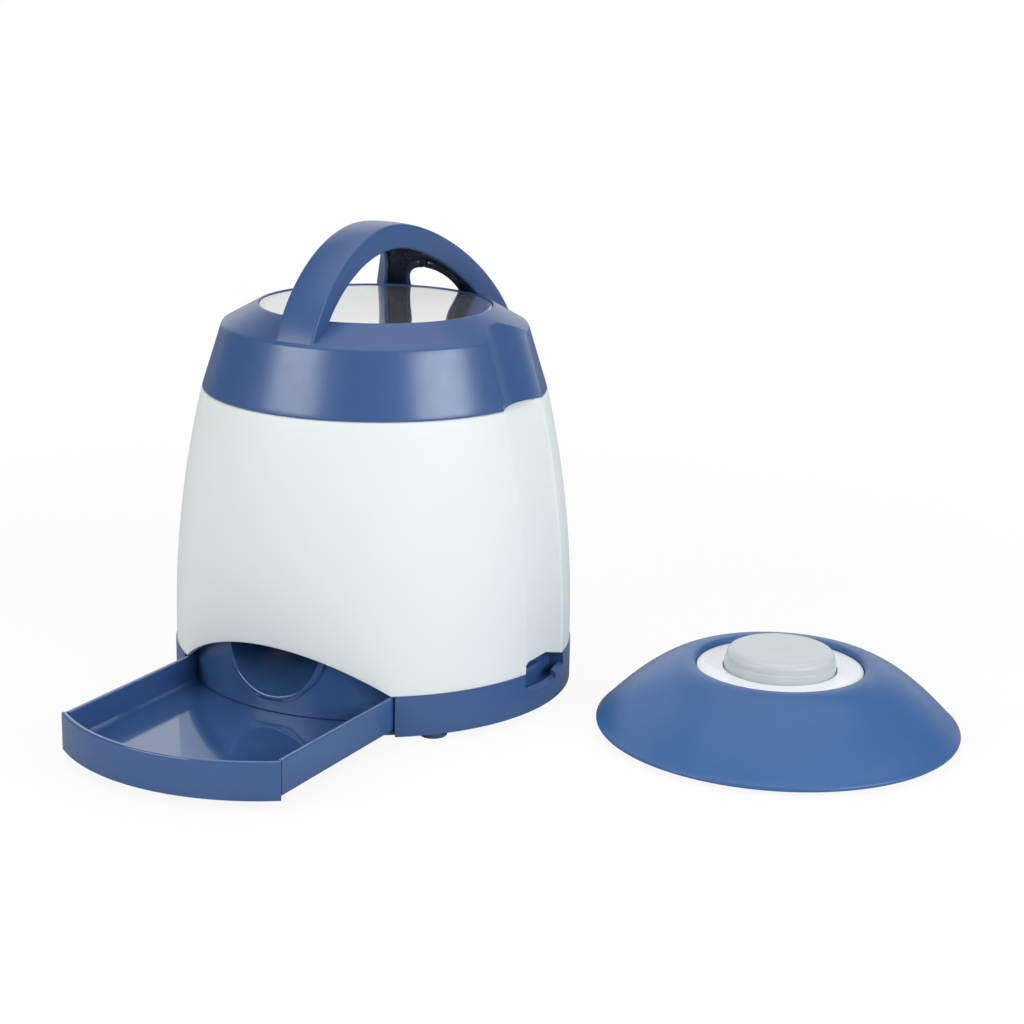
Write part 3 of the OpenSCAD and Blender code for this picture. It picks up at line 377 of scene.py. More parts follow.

# %% [markdown]
# ### Plastics of single pieces
# A few pieces differ from the rest of their colour. The tray and the bead over it come from a polished
# mould, so they mirror more. The liner under the handle is painted nearly black, which is painted shade
# under the arch, and the remote's disc is a whiter white than the body. Each is the same kind of plastic
# with other values.

# %% Plastics of single pieces
tray_gloss = moulded("polished_blue", BLUE, 0.05, (0.09, 0.13), 700.0, 0.003,
                     Coat_Weight=0.5, Coat_Roughness=0.05, Coat_IOR=1.8)
# Painted shade: the handle's liner is coloured nearly black for the shade under the arch, in place of its
# slot's blue.
painted_shade_blue = moulded("painted_shade_blue", (0.022, 0.033, 0.058), 0.05, (0.24, 0.30), 700.0, 0.004, IOR=1.66)
disc_white = moulded("disc_white", (0.89, 0.91, 0.93), 0.010, (0.26, 0.30), 160.0, 0.0015)
print("plastics of single pieces:", [m.name for m in (tray_gloss, painted_shade_blue, disc_white)])

# %% [markdown]
# ## Helpers for surfaces
# A piece is a grid of points: a function of two parameters worked out as whole arrays. Neighbouring
# points become four-cornered faces. Grids that belong to one moulding are joined, their doubles are
# merged, and the normals are made to point outwards.


# %% Grid helpers
def grid(points, wrap_u=False, wrap_v=False):
    """(points, faces) of a surface given on a grid of shape (nu, nv, 3); wrap closes a direction."""
    nu, nv = points.shape[:2]
    iu = np.arange(nu if wrap_u else nu - 1)
    iv = np.arange(nv if wrap_v else nv - 1)
    a, b = np.meshgrid(iu, iv, indexing="ij")
    a2 = (a + 1) % nu
    b2 = (b + 1) % nv
    faces = np.stack([a * nv + b, a2 * nv + b, a2 * nv + b2, a * nv + b2], -1).reshape(-1, 4)
    return points.reshape(-1, 3), faces


def mirrored(surface):
    """The same surface on the other side of the plane x = 0."""
    points, faces = surface
    return points * np.array([-1.0, 1.0, 1.0]), faces[:, ::-1]


def piece(name, surfaces, body, slot, replaces=(), sharp=32.0, look=None):
    """Joins surfaces into one object, in metres, that rides on body, if there is one, for CAD nodes.

    Edges that bend by more than sharp degrees stay crisp. A look is a finish other than the slot's.
    """
    starts = np.cumsum([0] + [len(p) for p, _ in surfaces[:-1]])
    points = np.concatenate([p for p, _ in surfaces]) * MM
    faces = np.concatenate([f + s for (_, f), s in zip(surfaces, starts)])
    mesh = bpy.data.meshes.new(name)
    mesh.from_pydata(points.tolist(), [], faces.tolist())
    work = bmesh.new()
    work.from_mesh(mesh)
    bmesh.ops.remove_doubles(work, verts=work.verts, dist=2e-6)
    bmesh.ops.dissolve_degenerate(work, edges=work.edges, dist=1e-7)
    bmesh.ops.recalc_face_normals(work, faces=work.faces)
    work.to_mesh(mesh)
    work.free()
    mesh.shade_smooth()
    mesh.set_sharp_from_angle(angle=math.radians(sharp))
    obj = bpy.data.objects.new(name, mesh)
    bpy.context.collection.objects.link(obj)
    mesh.materials.append(finish[slot] if look is None else look)
    if body:
        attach(obj, body)
    if replaces:
        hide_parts(*replaces)
    print(name, "faces:", len(mesh.polygons))
    return obj


# %% [markdown]
# ### Outlines
# Many pieces are an outline that is carried round an axis or along a line. Moulds have no knife edges,
# so its corners become arcs, and long runs get extra points, so that bent surfaces stay smooth. The
# Bevel and Subdivide tools could do that on the mesh, but an outline has far fewer points to treat.


# %% Outline helpers
def rounded(corners, radii, steps=5):
    """A closed outline with arcs for corners: an arc starts radius * tan(turn / 2) before its corner."""
    pts = np.array(corners, float)
    parts = []
    for before, here, after, radius in zip(np.roll(pts, 1, 0), pts, np.roll(pts, -1, 0), radii):
        into = (here - before) / np.linalg.norm(here - before)
        out = (after - here) / np.linalg.norm(after - here)
        turn = math.acos(np.clip(into @ out, -1.0, 1.0))
        if radius <= 0 or turn < 0.02:
            parts.append(here[None])
            continue
        cut = radius * math.tan(turn / 2)
        side = np.sign(into[0] * out[1] - into[1] * out[0])
        normal = side * np.array([-into[1], into[0]])
        centre = here - into * cut + normal * radius
        a = np.linspace(0.0, turn, steps + 1)[:, None]
        parts.append(centre - normal * radius * np.cos(a) + into * radius * np.sin(a))
    return np.concatenate(parts)


def refined(outline, step, closed=True):
    """The outline with extra points on its long runs, so that no run is longer than step."""
    begins = outline if closed else outline[:-1]
    runs = (np.roll(outline, -1, 0) if closed else outline[1:]) - begins
    cuts = np.maximum(np.ceil(np.linalg.norm(runs, axis=1) / step), 1).astype(int)
    run = np.repeat(np.arange(len(runs)), cuts)
    share = (np.arange(len(run)) - (np.cumsum(cuts) - cuts)[run]) / cuts[run]
    points = begins[run] + runs[run] * share[:, None]
    return points if closed else np.concatenate([points, outline[-1:]])


def turned(profile, centre=(0.0, 0.0), columns=192, closed=True):
    """A lathe shape: the profile (radius, height) is carried round the upright axis through centre."""
    a = np.linspace(0.0, 2 * math.pi, columns, endpoint=False)[:, None]
    r, z = profile[None, :, 0], profile[None, :, 1]
    x = centre[0] + r * np.cos(a)
    y = centre[1] + r * np.sin(a)
    return grid(np.stack([x, y, z + 0 * a], -1), wrap_u=True, wrap_v=closed)


square = np.array([[0, 0], [1, 0], [1, 1], [0, 1]])
print("points of a square, refined to half its side:", len(refined(square, 0.5)))

# %% [markdown]
# ## The body
# The body is a thin barrel, moulded in one shot: its side is part of a parabola, a shallow band runs
# down each flank, an arch is cut out at the front, and its top edge turns inward as a ledge. A lathe
# shape with cuts would do, but the arch would leave ragged edges. Here the wall's closed outline
# (depth below the outer skin, height) is carried round the axis, and at each angle the heights are
# squeezed so that the lower edge follows the arch. The first cell has the curves of the drawing.

# %% Body curves
BASE_TOP = 21.7
BODY_TOP = 143.5
BODY_MAX_R = 94.5
BODY_TOP_R = 81.0
BULGE_Z = 30.0
BULGE_K = (BODY_MAX_R - BODY_TOP_R) / (BODY_TOP - BULGE_Z) ** 2
WALL = 2.5
LEDGE_R = 72.0
BAND_HALF = 18.4
BAND_DEPTH = 0.9
BAND_FLAT = 0.6
SHOULDER_OUT = 6.0
SHOULDER_DROP = 2.5
SHOULDER_H = 8.0
ARCH_HALF = 55.5
ARCH_H = 19.5
ARCH_R = (ARCH_HALF ** 2 + ARCH_H ** 2) / (2 * ARCH_H)
LATCH_H = 5.0
LATCH_ROUND = LATCH_H - BAND_HALF
LATCH_LEVEL = 2.0


def barrel_r(z):
    """Radius of the barrel: the widest radius less a share of the squared height above the bulge."""
    return BODY_MAX_R - BULGE_K * (z - BULGE_Z) ** 2


def cap_height(across, half, rise, radius):
    """Height of a circular arch over its springing, 0 outside its width."""
    inside = np.abs(across) < half
    drop = np.sqrt(np.maximum(radius ** 2 - np.where(inside, across, 0.0) ** 2, 0.0))
    return np.where(inside, rise - radius + drop, 0.0)


def latch_rise(y):
    """Rise of the lower edge over a latch pocket: a quarter circle, a level run, then a straight fall."""
    ahead_of = np.minimum(y - LATCH_ROUND, 0.0)
    front = np.sqrt(np.maximum(LATCH_H ** 2 - ahead_of ** 2, 0.0))
    return np.minimum(front, np.interp(y, [LATCH_LEVEL, BAND_HALF], [LATCH_H, 0.0]))


print("barrel radius at its foot", round(barrel_r(BASE_TOP), 2), "arch radius", round(ARCH_R, 2))

# %% [markdown]
# ### Columns that meet the edges
# An edge that runs between two columns of a grid looks like a saw. More columns would only make the
# teeth smaller. So the columns are bent a little, until one of them lies exactly on the edge. The four
# quarters of the toy share one set of angles, counted from the nearest flank.


# %% Columns
def bent_columns(u, from_edge, to_edge, calm=0.75):
    """Angles from the flank, bent so that the column at from_edge lies at to_edge; none move past calm."""
    inner = u * to_edge / from_edge
    outer = to_edge + (u - from_edge) * (calm - to_edge) / (calm - from_edge)
    return np.where(u <= from_edge, inner, np.where(u < calm, outer, u))


def flank_angles(special, step):
    """Angles from 0 to a quarter turn, evenly stepped, with the special ones added."""
    even = np.linspace(0.0, math.pi / 2, int(round(math.pi / 2 / step)) + 1)
    return np.unique(np.round(np.concatenate([even, special]), 6))


def all_round(quarter):
    """(angle from the nearest flank, sign of x, sign of y) for columns all round, from one quarter."""
    front = quarter[1:-1]
    u = np.concatenate([quarter, front[::-1], quarter, front[::-1]])
    n, m = len(quarter), len(front)
    sx = np.concatenate([np.ones(n), -np.ones(m), -np.ones(n), np.ones(m)])
    sy = np.concatenate([np.ones(n), np.ones(m), -np.ones(n), -np.ones(m)])
    return u, sx, sy


band_edge = math.asin(BAND_HALF / BODY_MAX_R)
arch_edge = math.acos(ARCH_HALF / BODY_MAX_R)
print("edges of band and arch, in degrees:", np.degrees([band_edge, arch_edge]).round(2))

# %% [markdown]
# ### The body's surface
# The band on the flank is nearly flat across and steps in at its edge, and its top sinks under the
# lid's finger scoop. Each of these is one array that is taken from the radius or the height, so the
# barrel stays one closed grid.

# %% Body surface
BAND_STEP = 0.006
BODY_COLUMN = 0.011
BODY_ROW = 3.5
round_y = BAND_HALF - LATCH_H * (1 - np.cos(np.linspace(0.0, math.pi / 2, 9)))
special = [band_edge - BAND_STEP, band_edge, band_edge + 0.001, arch_edge, arch_edge + 0.002]
quarter = flank_angles(np.concatenate([special, np.arcsin(round_y / BODY_MAX_R)]), BODY_COLUMN)
u, sx, sy = all_round(quarter)
wall_outline = rounded(
    [(0, BASE_TOP), (0, BODY_TOP), (BODY_TOP_R - LEDGE_R, BODY_TOP), (BODY_TOP_R - LEDGE_R, BODY_TOP - WALL),
     (WALL, BODY_TOP - WALL), (WALL, BASE_TOP)],
    [0.5, 1.4, 0.5, 0.5, 1.0, 0.4])
wall_outline = refined(wall_outline, BODY_ROW)
depth, height = wall_outline[:, 0][None], wall_outline[:, 1][None]
rough_x = BODY_MAX_R * np.cos(u)[:, None]
rough_y = BODY_MAX_R * np.sin(u)[:, None] * sy[:, None]
low = np.where(rough_y < 0, cap_height(rough_x, ARCH_HALF, ARCH_H, ARCH_R), 0.0)
low = np.maximum(low, latch_rise(rough_y))
z = BODY_TOP - (BODY_TOP - height) * (BODY_TOP - BASE_TOP - low) / (BODY_TOP - BASE_TOP)
edge_here = np.arcsin(BAND_HALF / barrel_r(z))
angle = bent_columns(u[:, None], band_edge, edge_here)
in_band = np.clip((band_edge - u[:, None]) / BAND_STEP, 0.0, 1.0)
chord = barrel_r(z) * (1 - np.cos(edge_here) / np.cos(np.minimum(angle, edge_here)))
r = barrel_r(z) - depth - in_band * (BAND_DEPTH + BAND_FLAT * chord)
open_depth = SHOULDER_OUT * np.clip(1 - (u[:, None] / band_edge) ** 2, 0.0, 1.0)
inward = np.clip(1 - depth / np.maximum(open_depth, 0.01), 0.0, 1.0)
near_top = np.clip((z - BODY_TOP + SHOULDER_H) / SHOULDER_H, 0.0, 1.0)
z = z - SHOULDER_DROP * np.minimum(open_depth / 2.0, 1.0) * (near_top * inward) ** 2
points = np.stack([r * np.cos(angle) * sx[:, None], r * np.sin(angle) * sy[:, None], z], -1)
piece("body_barrel", [grid(points, True, True)], "dispenser", "body_white", ["body_shell"], 30.0)

# %% [markdown]
# ## The lid
# The lid is a stepped cone: a steep wall, a softened crease, a shoulder and the seat of the window.
# Each side has a finger scoop, the hollow that a leaning cylinder leaves. A boolean cut would leave long
# thin faces along its edge, so the cylinder is worked out as a distance from the axis instead.

# %% Lid curves
CREASE_R = 71.5
CREASE_Z = 173.5
WINDOW_R = 54.3
RIM_Z = 183.1
SEAT_Z = 180.1
SCOOP_R = 41.0
SCOOP_DEPTH = 7.0
SCOOP_LEAN = math.atan2(BODY_TOP_R - CREASE_R, CREASE_Z - BODY_TOP) + math.radians(1.0)
SCOOP_WIDE = SCOOP_R / math.cos(SCOOP_LEAN)
SCOOP_FAN = 0.6
EDGE_FAN = np.linspace(0.0, 0.45, 900)
NO_SCOOP = 999.0


def lid_r(z):
    """Outer radius of the lid: straight wall to the crease, then the shoulder."""
    return np.interp(z, [BODY_TOP, CREASE_Z, RIM_Z], [BODY_TOP_R, CREASE_R, WINDOW_R])


def scoop_r(angle, z):
    """Distance from the axis to the leaning cylinder along a level line: its quadratic's smaller root."""
    axis_x = BODY_TOP_R - SCOOP_DEPTH + SCOOP_WIDE - (z - BODY_TOP) * math.tan(SCOOP_LEAN)
    a = (np.cos(angle) / SCOOP_WIDE) ** 2 + (np.sin(angle) / SCOOP_R) ** 2
    b = -2 * axis_x * np.cos(angle) / SCOOP_WIDE ** 2
    c = (axis_x / SCOOP_WIDE) ** 2 - 1
    inside = b * b - 4 * a * c
    hit = (-b - np.sqrt(np.maximum(inside, 0.0))) / (2 * a)
    return np.where((inside > 0) & (np.abs(angle) < SCOOP_FAN), hit, NO_SCOOP)


def scoop_edge(z, plain):
    """Angle at which the scoop leaves the lid's outer face, found on a fine fan of angles."""
    cut = scoop_r(EDGE_FAN[None], z[:, None]) < lid_r(z)[:, None]
    edge = EDGE_FAN[np.maximum(cut.sum(1) - 1, 0)]
    return np.where(edge < 0.05, np.maximum(edge, plain * 0.35), edge)


flank = scoop_edge(np.array([BODY_TOP + 8.0]), 0.2)[0]
print("half angle of the scoop near its foot, in degrees:", round(math.degrees(flank), 2))

# %% [markdown]
# ### The lid's surface
# The lid's closed outline, with the seat of the window and the collar that sits in the hopper, is
# carried round the axis, and each point is pulled in where the cylinder lies further in than the
# outline. Columns are bent onto the scoop's edge, so that the edge stays crisp.

# %% Lid surface
SEAT_IN = WINDOW_R - 3.0
SEAT_LOW = SEAT_Z - 2.4
COLLAR_IN = 63.0
COLLAR_OUT = 65.4
COLLAR_LOW = 138.5
DECK_TOP = 146.0
DECK_LOW = 144.0
LID_COLUMN = 0.0131
LID_ROW = 2.0
SKIN_T = 1.2

lid_corners = [
    (BODY_TOP_R, BODY_TOP), (CREASE_R, CREASE_Z), (WINDOW_R, RIM_Z), (WINDOW_R, SEAT_Z),
    (SEAT_IN, SEAT_Z), (SEAT_IN, SEAT_LOW), (WINDOW_R + 1.6, SEAT_LOW), (CREASE_R - 2.5, CREASE_Z - 1.45),
    (77.6, DECK_TOP), (COLLAR_IN, DECK_TOP), (COLLAR_IN, COLLAR_LOW), (COLLAR_OUT, COLLAR_LOW),
    (COLLAR_OUT, DECK_LOW), (78.2, DECK_LOW), (78.4, BODY_TOP)]
lid_rounds = [0.7, 2.2, 0.7, 0.2, 0.4, 0.4, 0.5, 1.5, 0.8, 0.4, 0.4, 0.4, 0.5, 0.1, 0.2]
lid_outline = refined(rounded(lid_corners, lid_rounds), LID_ROW)
r0, z0 = lid_outline[:, 0], lid_outline[:, 1]
on_lid = np.clip(z0, BODY_TOP, RIM_Z)
outer_skin = r0 > lid_r(on_lid) - SKIN_T
depth = np.where(outer_skin, 0.0, WALL)
edges = scoop_edge(on_lid, flank)
quarter = flank_angles([flank - 0.004, flank, flank + 0.002], LID_COLUMN)
u, sx, sy = all_round(quarter)
angle = bent_columns(u[:, None], flank, edges[None])
r = np.minimum(r0[None], scoop_r(angle, z0[None]) - depth[None])
z = z0[None] + 0 * angle
points = np.stack([r * np.cos(angle) * sx[:, None], r * np.sin(angle) * sy[:, None], z], -1)
piece("lid_moulding", [grid(points, True, True)], "lid", "blue_plastic", ["lid_ring"], 26.0)

# %% [markdown]
# ## The window
# The window is a clear disc that drops into the lid's seat. It is pressed a little hollow, which
# stretches what it mirrors: the handle's two legs reach its front edge there. Its edge is softened,
# because a polished sheet with a knife edge doesn't exist. It is a lathe shape closed at the axis.

# %% Window
WINDOW_T = 2.0
WINDOW_DISH = 1.4
pane_r = WINDOW_R - 0.1
pane = rounded([(0, SEAT_Z), (pane_r, SEAT_Z), (pane_r, SEAT_Z + WINDOW_T), (0, SEAT_Z + WINDOW_T)],
               [0, 0.2, 0.5, 0])
pane = refined(pane, 2.0, closed=False)
pane[:, 1] -= WINDOW_DISH * (1 - (pane[:, 0] / pane_r) ** 2)
piece("window_pane", [turned(pane, closed=False)], "lid", "clear_plastic", ["lid_window"])

# %% [markdown]
# ## The handle
# The handle is a strap that arches from front to back and forks into two legs at the back. Its top
# lies on one dome and its underside on another, lower one. A curve with a bevel could make a strap, but
# not the fork, so both faces are worked out. The first cell has the sizes and the two domes.

# %% Handle domes
HANDLE_TOP = 220.0
HANDLE_HALF = 9.8
HANDLE_T = 11.4
DOME_FLAT = 0.8
FORK_Y0 = 1.3
FORK_Y1 = 59.8
FORK_SPREAD = 36.5
FORK_K = (FORK_SPREAD - HANDLE_HALF) / (FORK_Y1 - FORK_Y0) ** 2
FORK_DRAFT = 0.045
GAP_OUT = (20.5, RIM_Z + 16.4)
GAP_IN = (13.4, RIM_Z + 10.0)
EMBED = 0.9


def dome_of(foot_y, foot_z, top_z):
    """(radius, centre height) of the circle through the top and the foot."""
    rise = top_z - foot_z
    radius = (foot_y ** 2 + rise ** 2) / (2 * rise)
    return radius, top_z - radius


TOP_DOME = dome_of(CREASE_R - 1.2, CREASE_Z, HANDLE_TOP)
UNDER_DOME = dome_of(WINDOW_R + 0.6, RIM_Z, HANDLE_TOP - HANDLE_T)


def dome_z(dome, x, y):
    """Height of the dome over a point of the plan; it bends less across than along."""
    return dome[1] + np.sqrt(np.maximum(dome[0] ** 2 - DOME_FLAT * x * x - y * y, 0.0))


print("radius of the domes:", round(TOP_DOME[0], 2), round(UNDER_DOME[0], 2))

# %% [markdown]
# ### The strap seen from above
# The strap is bounded by an outer line and, on the inside, first by the middle line and then by the edge
# of the fork's arch. Each line ends where it sinks into the lid. Both lines have the same number of
# stations, so that a grid fits between them.

# %% Plan of the strap
FRONT_N = 90
BACK_N = 46
NEAR_Y = 20.0
FAR_Y = 72.0
SPLIT_AHEAD = 6.0


def strap_half(y, draft=0.0):
    """Half width of the strap: even in front, spreading with the square of the distance at the back."""
    back = np.maximum(y - FORK_Y0, 0.0)
    return HANDLE_HALF + FORK_K * back ** 2 - draft * back


def shoulder_z(x, y):
    """Height of the lid under a point of the plan."""
    return np.interp(np.hypot(x, y), [WINDOW_R, CREASE_R, BODY_TOP_R], [RIM_Z, CREASE_Z, BODY_TOP])


def foot_y(dome, x_of_y, y0, y1):
    """Where a line of the plan sinks into the lid's shoulder by EMBED, found on a fine scale of y."""
    y = np.linspace(y0, y1, 3000)
    x = x_of_y(y)
    above = dome_z(dome, x, y) - shoulder_z(x, y) + EMBED
    return y[np.argmax(above < 0)]


def strap_lines(dome, gap, draft):
    """Plan lines of one half: inner (middle, then the arch's edge) and outer, station by station."""
    def side(y):
        return strap_half(y, draft)

    front = foot_y(dome, lambda y: 0 * y, -NEAR_Y, -FAR_Y)
    front_out = foot_y(dome, side, -NEAR_Y, -FAR_Y)
    back_out = foot_y(dome, side, NEAR_Y, FAR_Y)
    arch_r, arch_top = gap
    hole_y = math.sqrt(dome[0] ** 2 - (arch_top - dome[1]) ** 2)
    a = np.linspace(0.0, 2.2, 900)
    hole_x = np.where(a < math.pi / 2, arch_r * np.sin(a), arch_r)
    hole_z = arch_top - arch_r + np.where(a < math.pi / 2, arch_r * np.cos(a), -arch_r * (a - math.pi / 2))
    edge_y = np.sqrt(np.maximum(dome[0] ** 2 - (hole_z - dome[1]) ** 2 - DOME_FLAT * hole_x ** 2, 0.0))
    last = np.argmax(hole_z - shoulder_z(hole_x, edge_y) + EMBED < 0)
    t = np.linspace(0.0, 1.0, BACK_N) * a[last]
    arch = np.stack([np.interp(t, a, hole_x), np.interp(t, a, edge_y)], -1)
    split = hole_y - SPLIT_AHEAD
    w = np.linspace(0.0, 1.0, FRONT_N, endpoint=False)
    inner = np.concatenate([np.stack([0 * w, front + (hole_y - front) * w], -1), arch])
    v = np.linspace(0.0, 1.0, BACK_N)
    out_y = np.concatenate([front_out + (split - front_out) * w, split + (back_out - split) * v])
    outer = np.stack([side(out_y), out_y], -1)
    return inner, outer


plan_lines = strap_lines(TOP_DOME, GAP_OUT, 0.0)
print("the strap's front and back ends, y:", round(plan_lines[0][0, 1], 1), round(plan_lines[0][-1, 1], 1))

# %% [markdown]
# ### The strap's faces
# Both faces are grids between the two lines, lifted onto their dome; the sides are strips between the
# faces. The long edges are rounded by letting each face sink along a quarter circle near its edge, and
# the underside has the channel of the real moulding.

# %% Handle surface
CHANNEL_IN = 1.9
CHANNEL_D = 3.0
CHANNEL_Z = RIM_Z - 6.0
CHANNEL_RUN = 0.3
CHANNEL_FADE = 1.2
TOP_ROUND = 1.0
UNDER_ROUND = 1.2


def strap_face(dome, gap, draft, rounding, side, channel):
    """One face of a half strap: side is 1 for the top, -1 for the underside.

    Returns its grid of points and, point by point, how far the channel is let in there, from 0 to 1.
    """
    inner, outer = strap_lines(dome, gap, draft)
    width = np.linalg.norm(outer - inner, axis=1)[:, None]
    sink = rounding * (1 - np.cos(np.linspace(0, math.pi / 2, 6)))
    near = np.concatenate([sink, [CHANNEL_IN, CHANNEL_IN + CHANNEL_RUN]])
    share = np.linspace(0.36, 0.64, 5)[None]
    s = np.concatenate([near[None] / width, np.repeat(share, len(width), 0), 1 - near[::-1][None] / width], 1)
    plan = inner[:, None] + s[..., None] * (outer - inner)[:, None]
    x, y = plan[..., 0], plan[..., 1]
    from_out = (1 - s) * width
    hole_y = inner[FRONT_N, 1]
    ahead_of_hole = np.hypot(x, np.maximum(hole_y - y, 0.0))
    is_front = (np.arange(len(width)) < FRONT_N)[:, None]
    from_in = np.where(is_front, ahead_of_hole, s * width)
    z = dome_z(dome, x, y)
    hollow = np.ones_like(z)
    for d in (from_out, from_in):
        q = np.clip(rounding - d, 0.0, rounding)
        z = z - side * (rounding - np.sqrt(np.maximum(rounding ** 2 - q * q, 0.0)))
        hollow = hollow * np.clip((d - CHANNEL_IN) / CHANNEL_RUN, 0, 1)
    hollow = hollow * np.clip((z - CHANNEL_Z) / CHANNEL_FADE, 0, 1)
    return np.stack([x, y, z + channel * hollow], -1), hollow


def strip(a, b, rows=5):
    """A ruled strip between two lines of points."""
    t = np.linspace(0.0, 1.0, rows)[:, None, None]
    return grid(a[None] + (b - a)[None] * t)


top, _ = strap_face(TOP_DOME, GAP_OUT, 0.0, TOP_ROUND, 1, 0.0)
under, hollow = strap_face(UNDER_DOME, GAP_IN, FORK_DRAFT, UNDER_ROUND, -1, CHANNEL_D)
half_handle = [
    grid(top), grid(under), strip(top[:, -1], under[:, -1]),
    strip(top[FRONT_N:, 0], under[FRONT_N:, 0]),
    strip(top[0], under[0], 3), strip(top[-1], under[-1], 3)]
piece("handle_strap", half_handle + [mirrored(g) for g in half_handle], "lid", "blue_plastic",
      ["handle"], 34.0)

# %% [markdown]
# ### The handle's liner
# A plate closes the hollow strap from below. Under the arch it gets a nearly black colour, which is
# painted shade. It could be cut as a block, but it only shows as a skin. So it takes those faces of the
# underside's grid that the channel lets in, and Solidify gives them a thickness.

# %% Handle liner
LINER_T = 0.6
let_in = np.maximum(hollow[1:], hollow[:-1])
let_in = np.maximum(let_in[:, 1:], let_in[:, :-1]) > 0.5
skin_points, skin_faces = grid(under)
used, corners_of = np.unique(skin_faces[let_in.ravel()], return_inverse=True)
skin_half = (skin_points[used], corners_of.reshape(-1, 4))
# The liner's look is painted shade, nearly black under the arch.
liner = piece("handle_liner", [skin_half, mirrored(skin_half)], "lid", "blue_plastic", ["handle_insert"],
              look=painted_shade_blue)
thickness = liner.modifiers.new("thickness", "SOLIDIFY")
thickness.thickness = LINER_T * MM
thickness.offset = 0.0

# %% [markdown]
# ## The tray
# The tray is an open moulding with thin walls: a floor, two straight sides, a low lip at the back and
# a curved front panel that is a touch wider and deeper than the rest, so that it closes flush with the
# base. A hollowed box would be quicker, but its front couldn't follow the base's curve. So each wall is
# a closed outline (across, height) with a softened top, carried along a line of the plan.

# %% Tray walls
BASE_R = 95.0
FOOT_H = 3.0
TRAY_HALF = 56.0
TRAY_T = 2.4
TRAY_OUT = 89.5
TRAY_REAR = -62.0
TRAY_Z = 6.0
TRAY_TOP = BASE_TOP - 0.2
TRAY_FLOOR = 8.2
PANEL_HALF = 56.8
PANEL_Z = FOOT_H + 1.4
WALL_SOFT = 0.7
SIDE_N = 60
LIP_N = 40


def carried(path, outline, inward):
    """A closed outline (across, height) carried along a plan path; across runs along inward, ends close."""
    points = np.empty((len(path), len(outline), 3))
    points[..., :2] = path[:, None] + inward[:, None] * outline[None, :, :1]
    points[..., 2] = outline[None, :, 1]
    n = len(outline) // 2
    ends = [np.stack([row[:n], row[::-1][:n]]) for row in (points[0], points[-1])]
    return [grid(points, wrap_v=True)] + [grid(e) for e in ends]


def wall_section(thick, low, high, soft):
    """Outline of a thin wall with a softened top, from low to high; an even number of points."""
    outline = rounded([(0, low), (0, high), (thick, high), (thick, low)], [0.3, soft, soft, 0.3], 4)
    return refined(outline, 5.0)


span = math.asin(PANEL_HALF / BASE_R)
swing = np.linspace(-span, span, 121)
panel_path = np.stack([BASE_R * np.sin(swing), -TRAY_OUT - BASE_R * np.cos(swing)], -1)
panel_inward = np.stack([-np.sin(swing), np.cos(swing)], -1)
panel = carried(panel_path, wall_section(TRAY_T, PANEL_Z, TRAY_TOP, WALL_SOFT), panel_inward)
front_y = -TRAY_OUT - math.sqrt((BASE_R - TRAY_T) ** 2 - TRAY_HALF ** 2) - 0.6
side_path = np.stack([np.full(SIDE_N, TRAY_HALF), np.linspace(front_y, TRAY_REAR, SIDE_N)], -1)
side_section = wall_section(TRAY_T, TRAY_Z, TRAY_TOP, WALL_SOFT)
side_wall = carried(side_path, side_section, np.tile([-1.0, 0.0], (SIDE_N, 1)))
lip_x = np.linspace(-TRAY_HALF + 1.0, TRAY_HALF - 1.0, LIP_N)
lip_path = np.stack([lip_x, np.full(LIP_N, TRAY_REAR)], -1)
lip_section = wall_section(TRAY_T, TRAY_Z, TRAY_FLOOR + 3.0, 0.6)
lip = carried(lip_path, lip_section, np.tile([0.0, -1.0], (LIP_N, 1)))
print("points across a wall of the tray:", len(side_section))

# %% [markdown]
# ### The tray's floor
# The floor is a slab whose front edge follows the panel. It could be a flat cut-out, but a moulding has
# a fillet where the floor meets a wall. So the height of its top rises along a quarter circle near the
# walls, by the distance to the nearest one.

# %% Tray floor
FILLET = 2.0
fx = np.linspace(-1.0, 1.0, 81)[:, None] * (TRAY_HALF - 0.6)
fv = np.linspace(0.0, 1.0, 60)[None]
fy = TRAY_REAR - 0.4 + fv * (-TRAY_OUT - np.sqrt((BASE_R - 1.0) ** 2 - fx ** 2) - TRAY_REAR + 0.4)
to_panel = BASE_R - TRAY_T - np.hypot(fx, np.minimum(fy + TRAY_OUT, 0.0))
edge = np.minimum(TRAY_HALF - TRAY_T - np.abs(fx), to_panel)
up_turn = np.clip(FILLET - np.maximum(edge, 0.0), 0.0, FILLET)
fz = TRAY_FLOOR + FILLET - np.sqrt(FILLET ** 2 - up_turn ** 2)
floor_top = np.stack([fx + 0 * fy, fy, fz], -1)
floor_under = np.stack([fx + 0 * fy, fy, 0 * fy + TRAY_Z], -1)
slab = [grid(floor_top), grid(floor_under[::-1])]
for a, b in ((floor_top[0], floor_under[0]), (floor_top[-1], floor_under[-1]),
             (floor_top[:, 0], floor_under[:, 0]), (floor_top[:, -1], floor_under[:, -1])):
    slab.append(strip(a, b, 2))
tray_surfaces = panel + side_wall + [mirrored(g) for g in side_wall] + lip + slab
piece("tray_moulding", tray_surfaces, "tray", "blue_plastic", ["tray"], 34.0, tray_gloss)

# %% [markdown]
# ## The remote
# The cover is a saucer: a rolled hem near the floor, a side that grows flatter towards the top, a soft
# rim, and a step down to the white disc. A Screw modifier on a curve would do the same. Here the outline
# is joined from arrays, because its rim and its side follow formulas, and then carried round.

# %% Remote cover
REMOTE = (197.0, 31.5)
REMOTE_R = 83.0
RIM_TOP = 32.0
DISC_R = 38.0
RIM_R = DISC_R + 3.4
EDGE_Z = 3.2
PAD_H = 2.0
HEM = 1.1
DISC_TOP = RIM_TOP - 2.2
DISC_UNDER = DISC_TOP - 2.0
SIDE_CURVE = 1.55

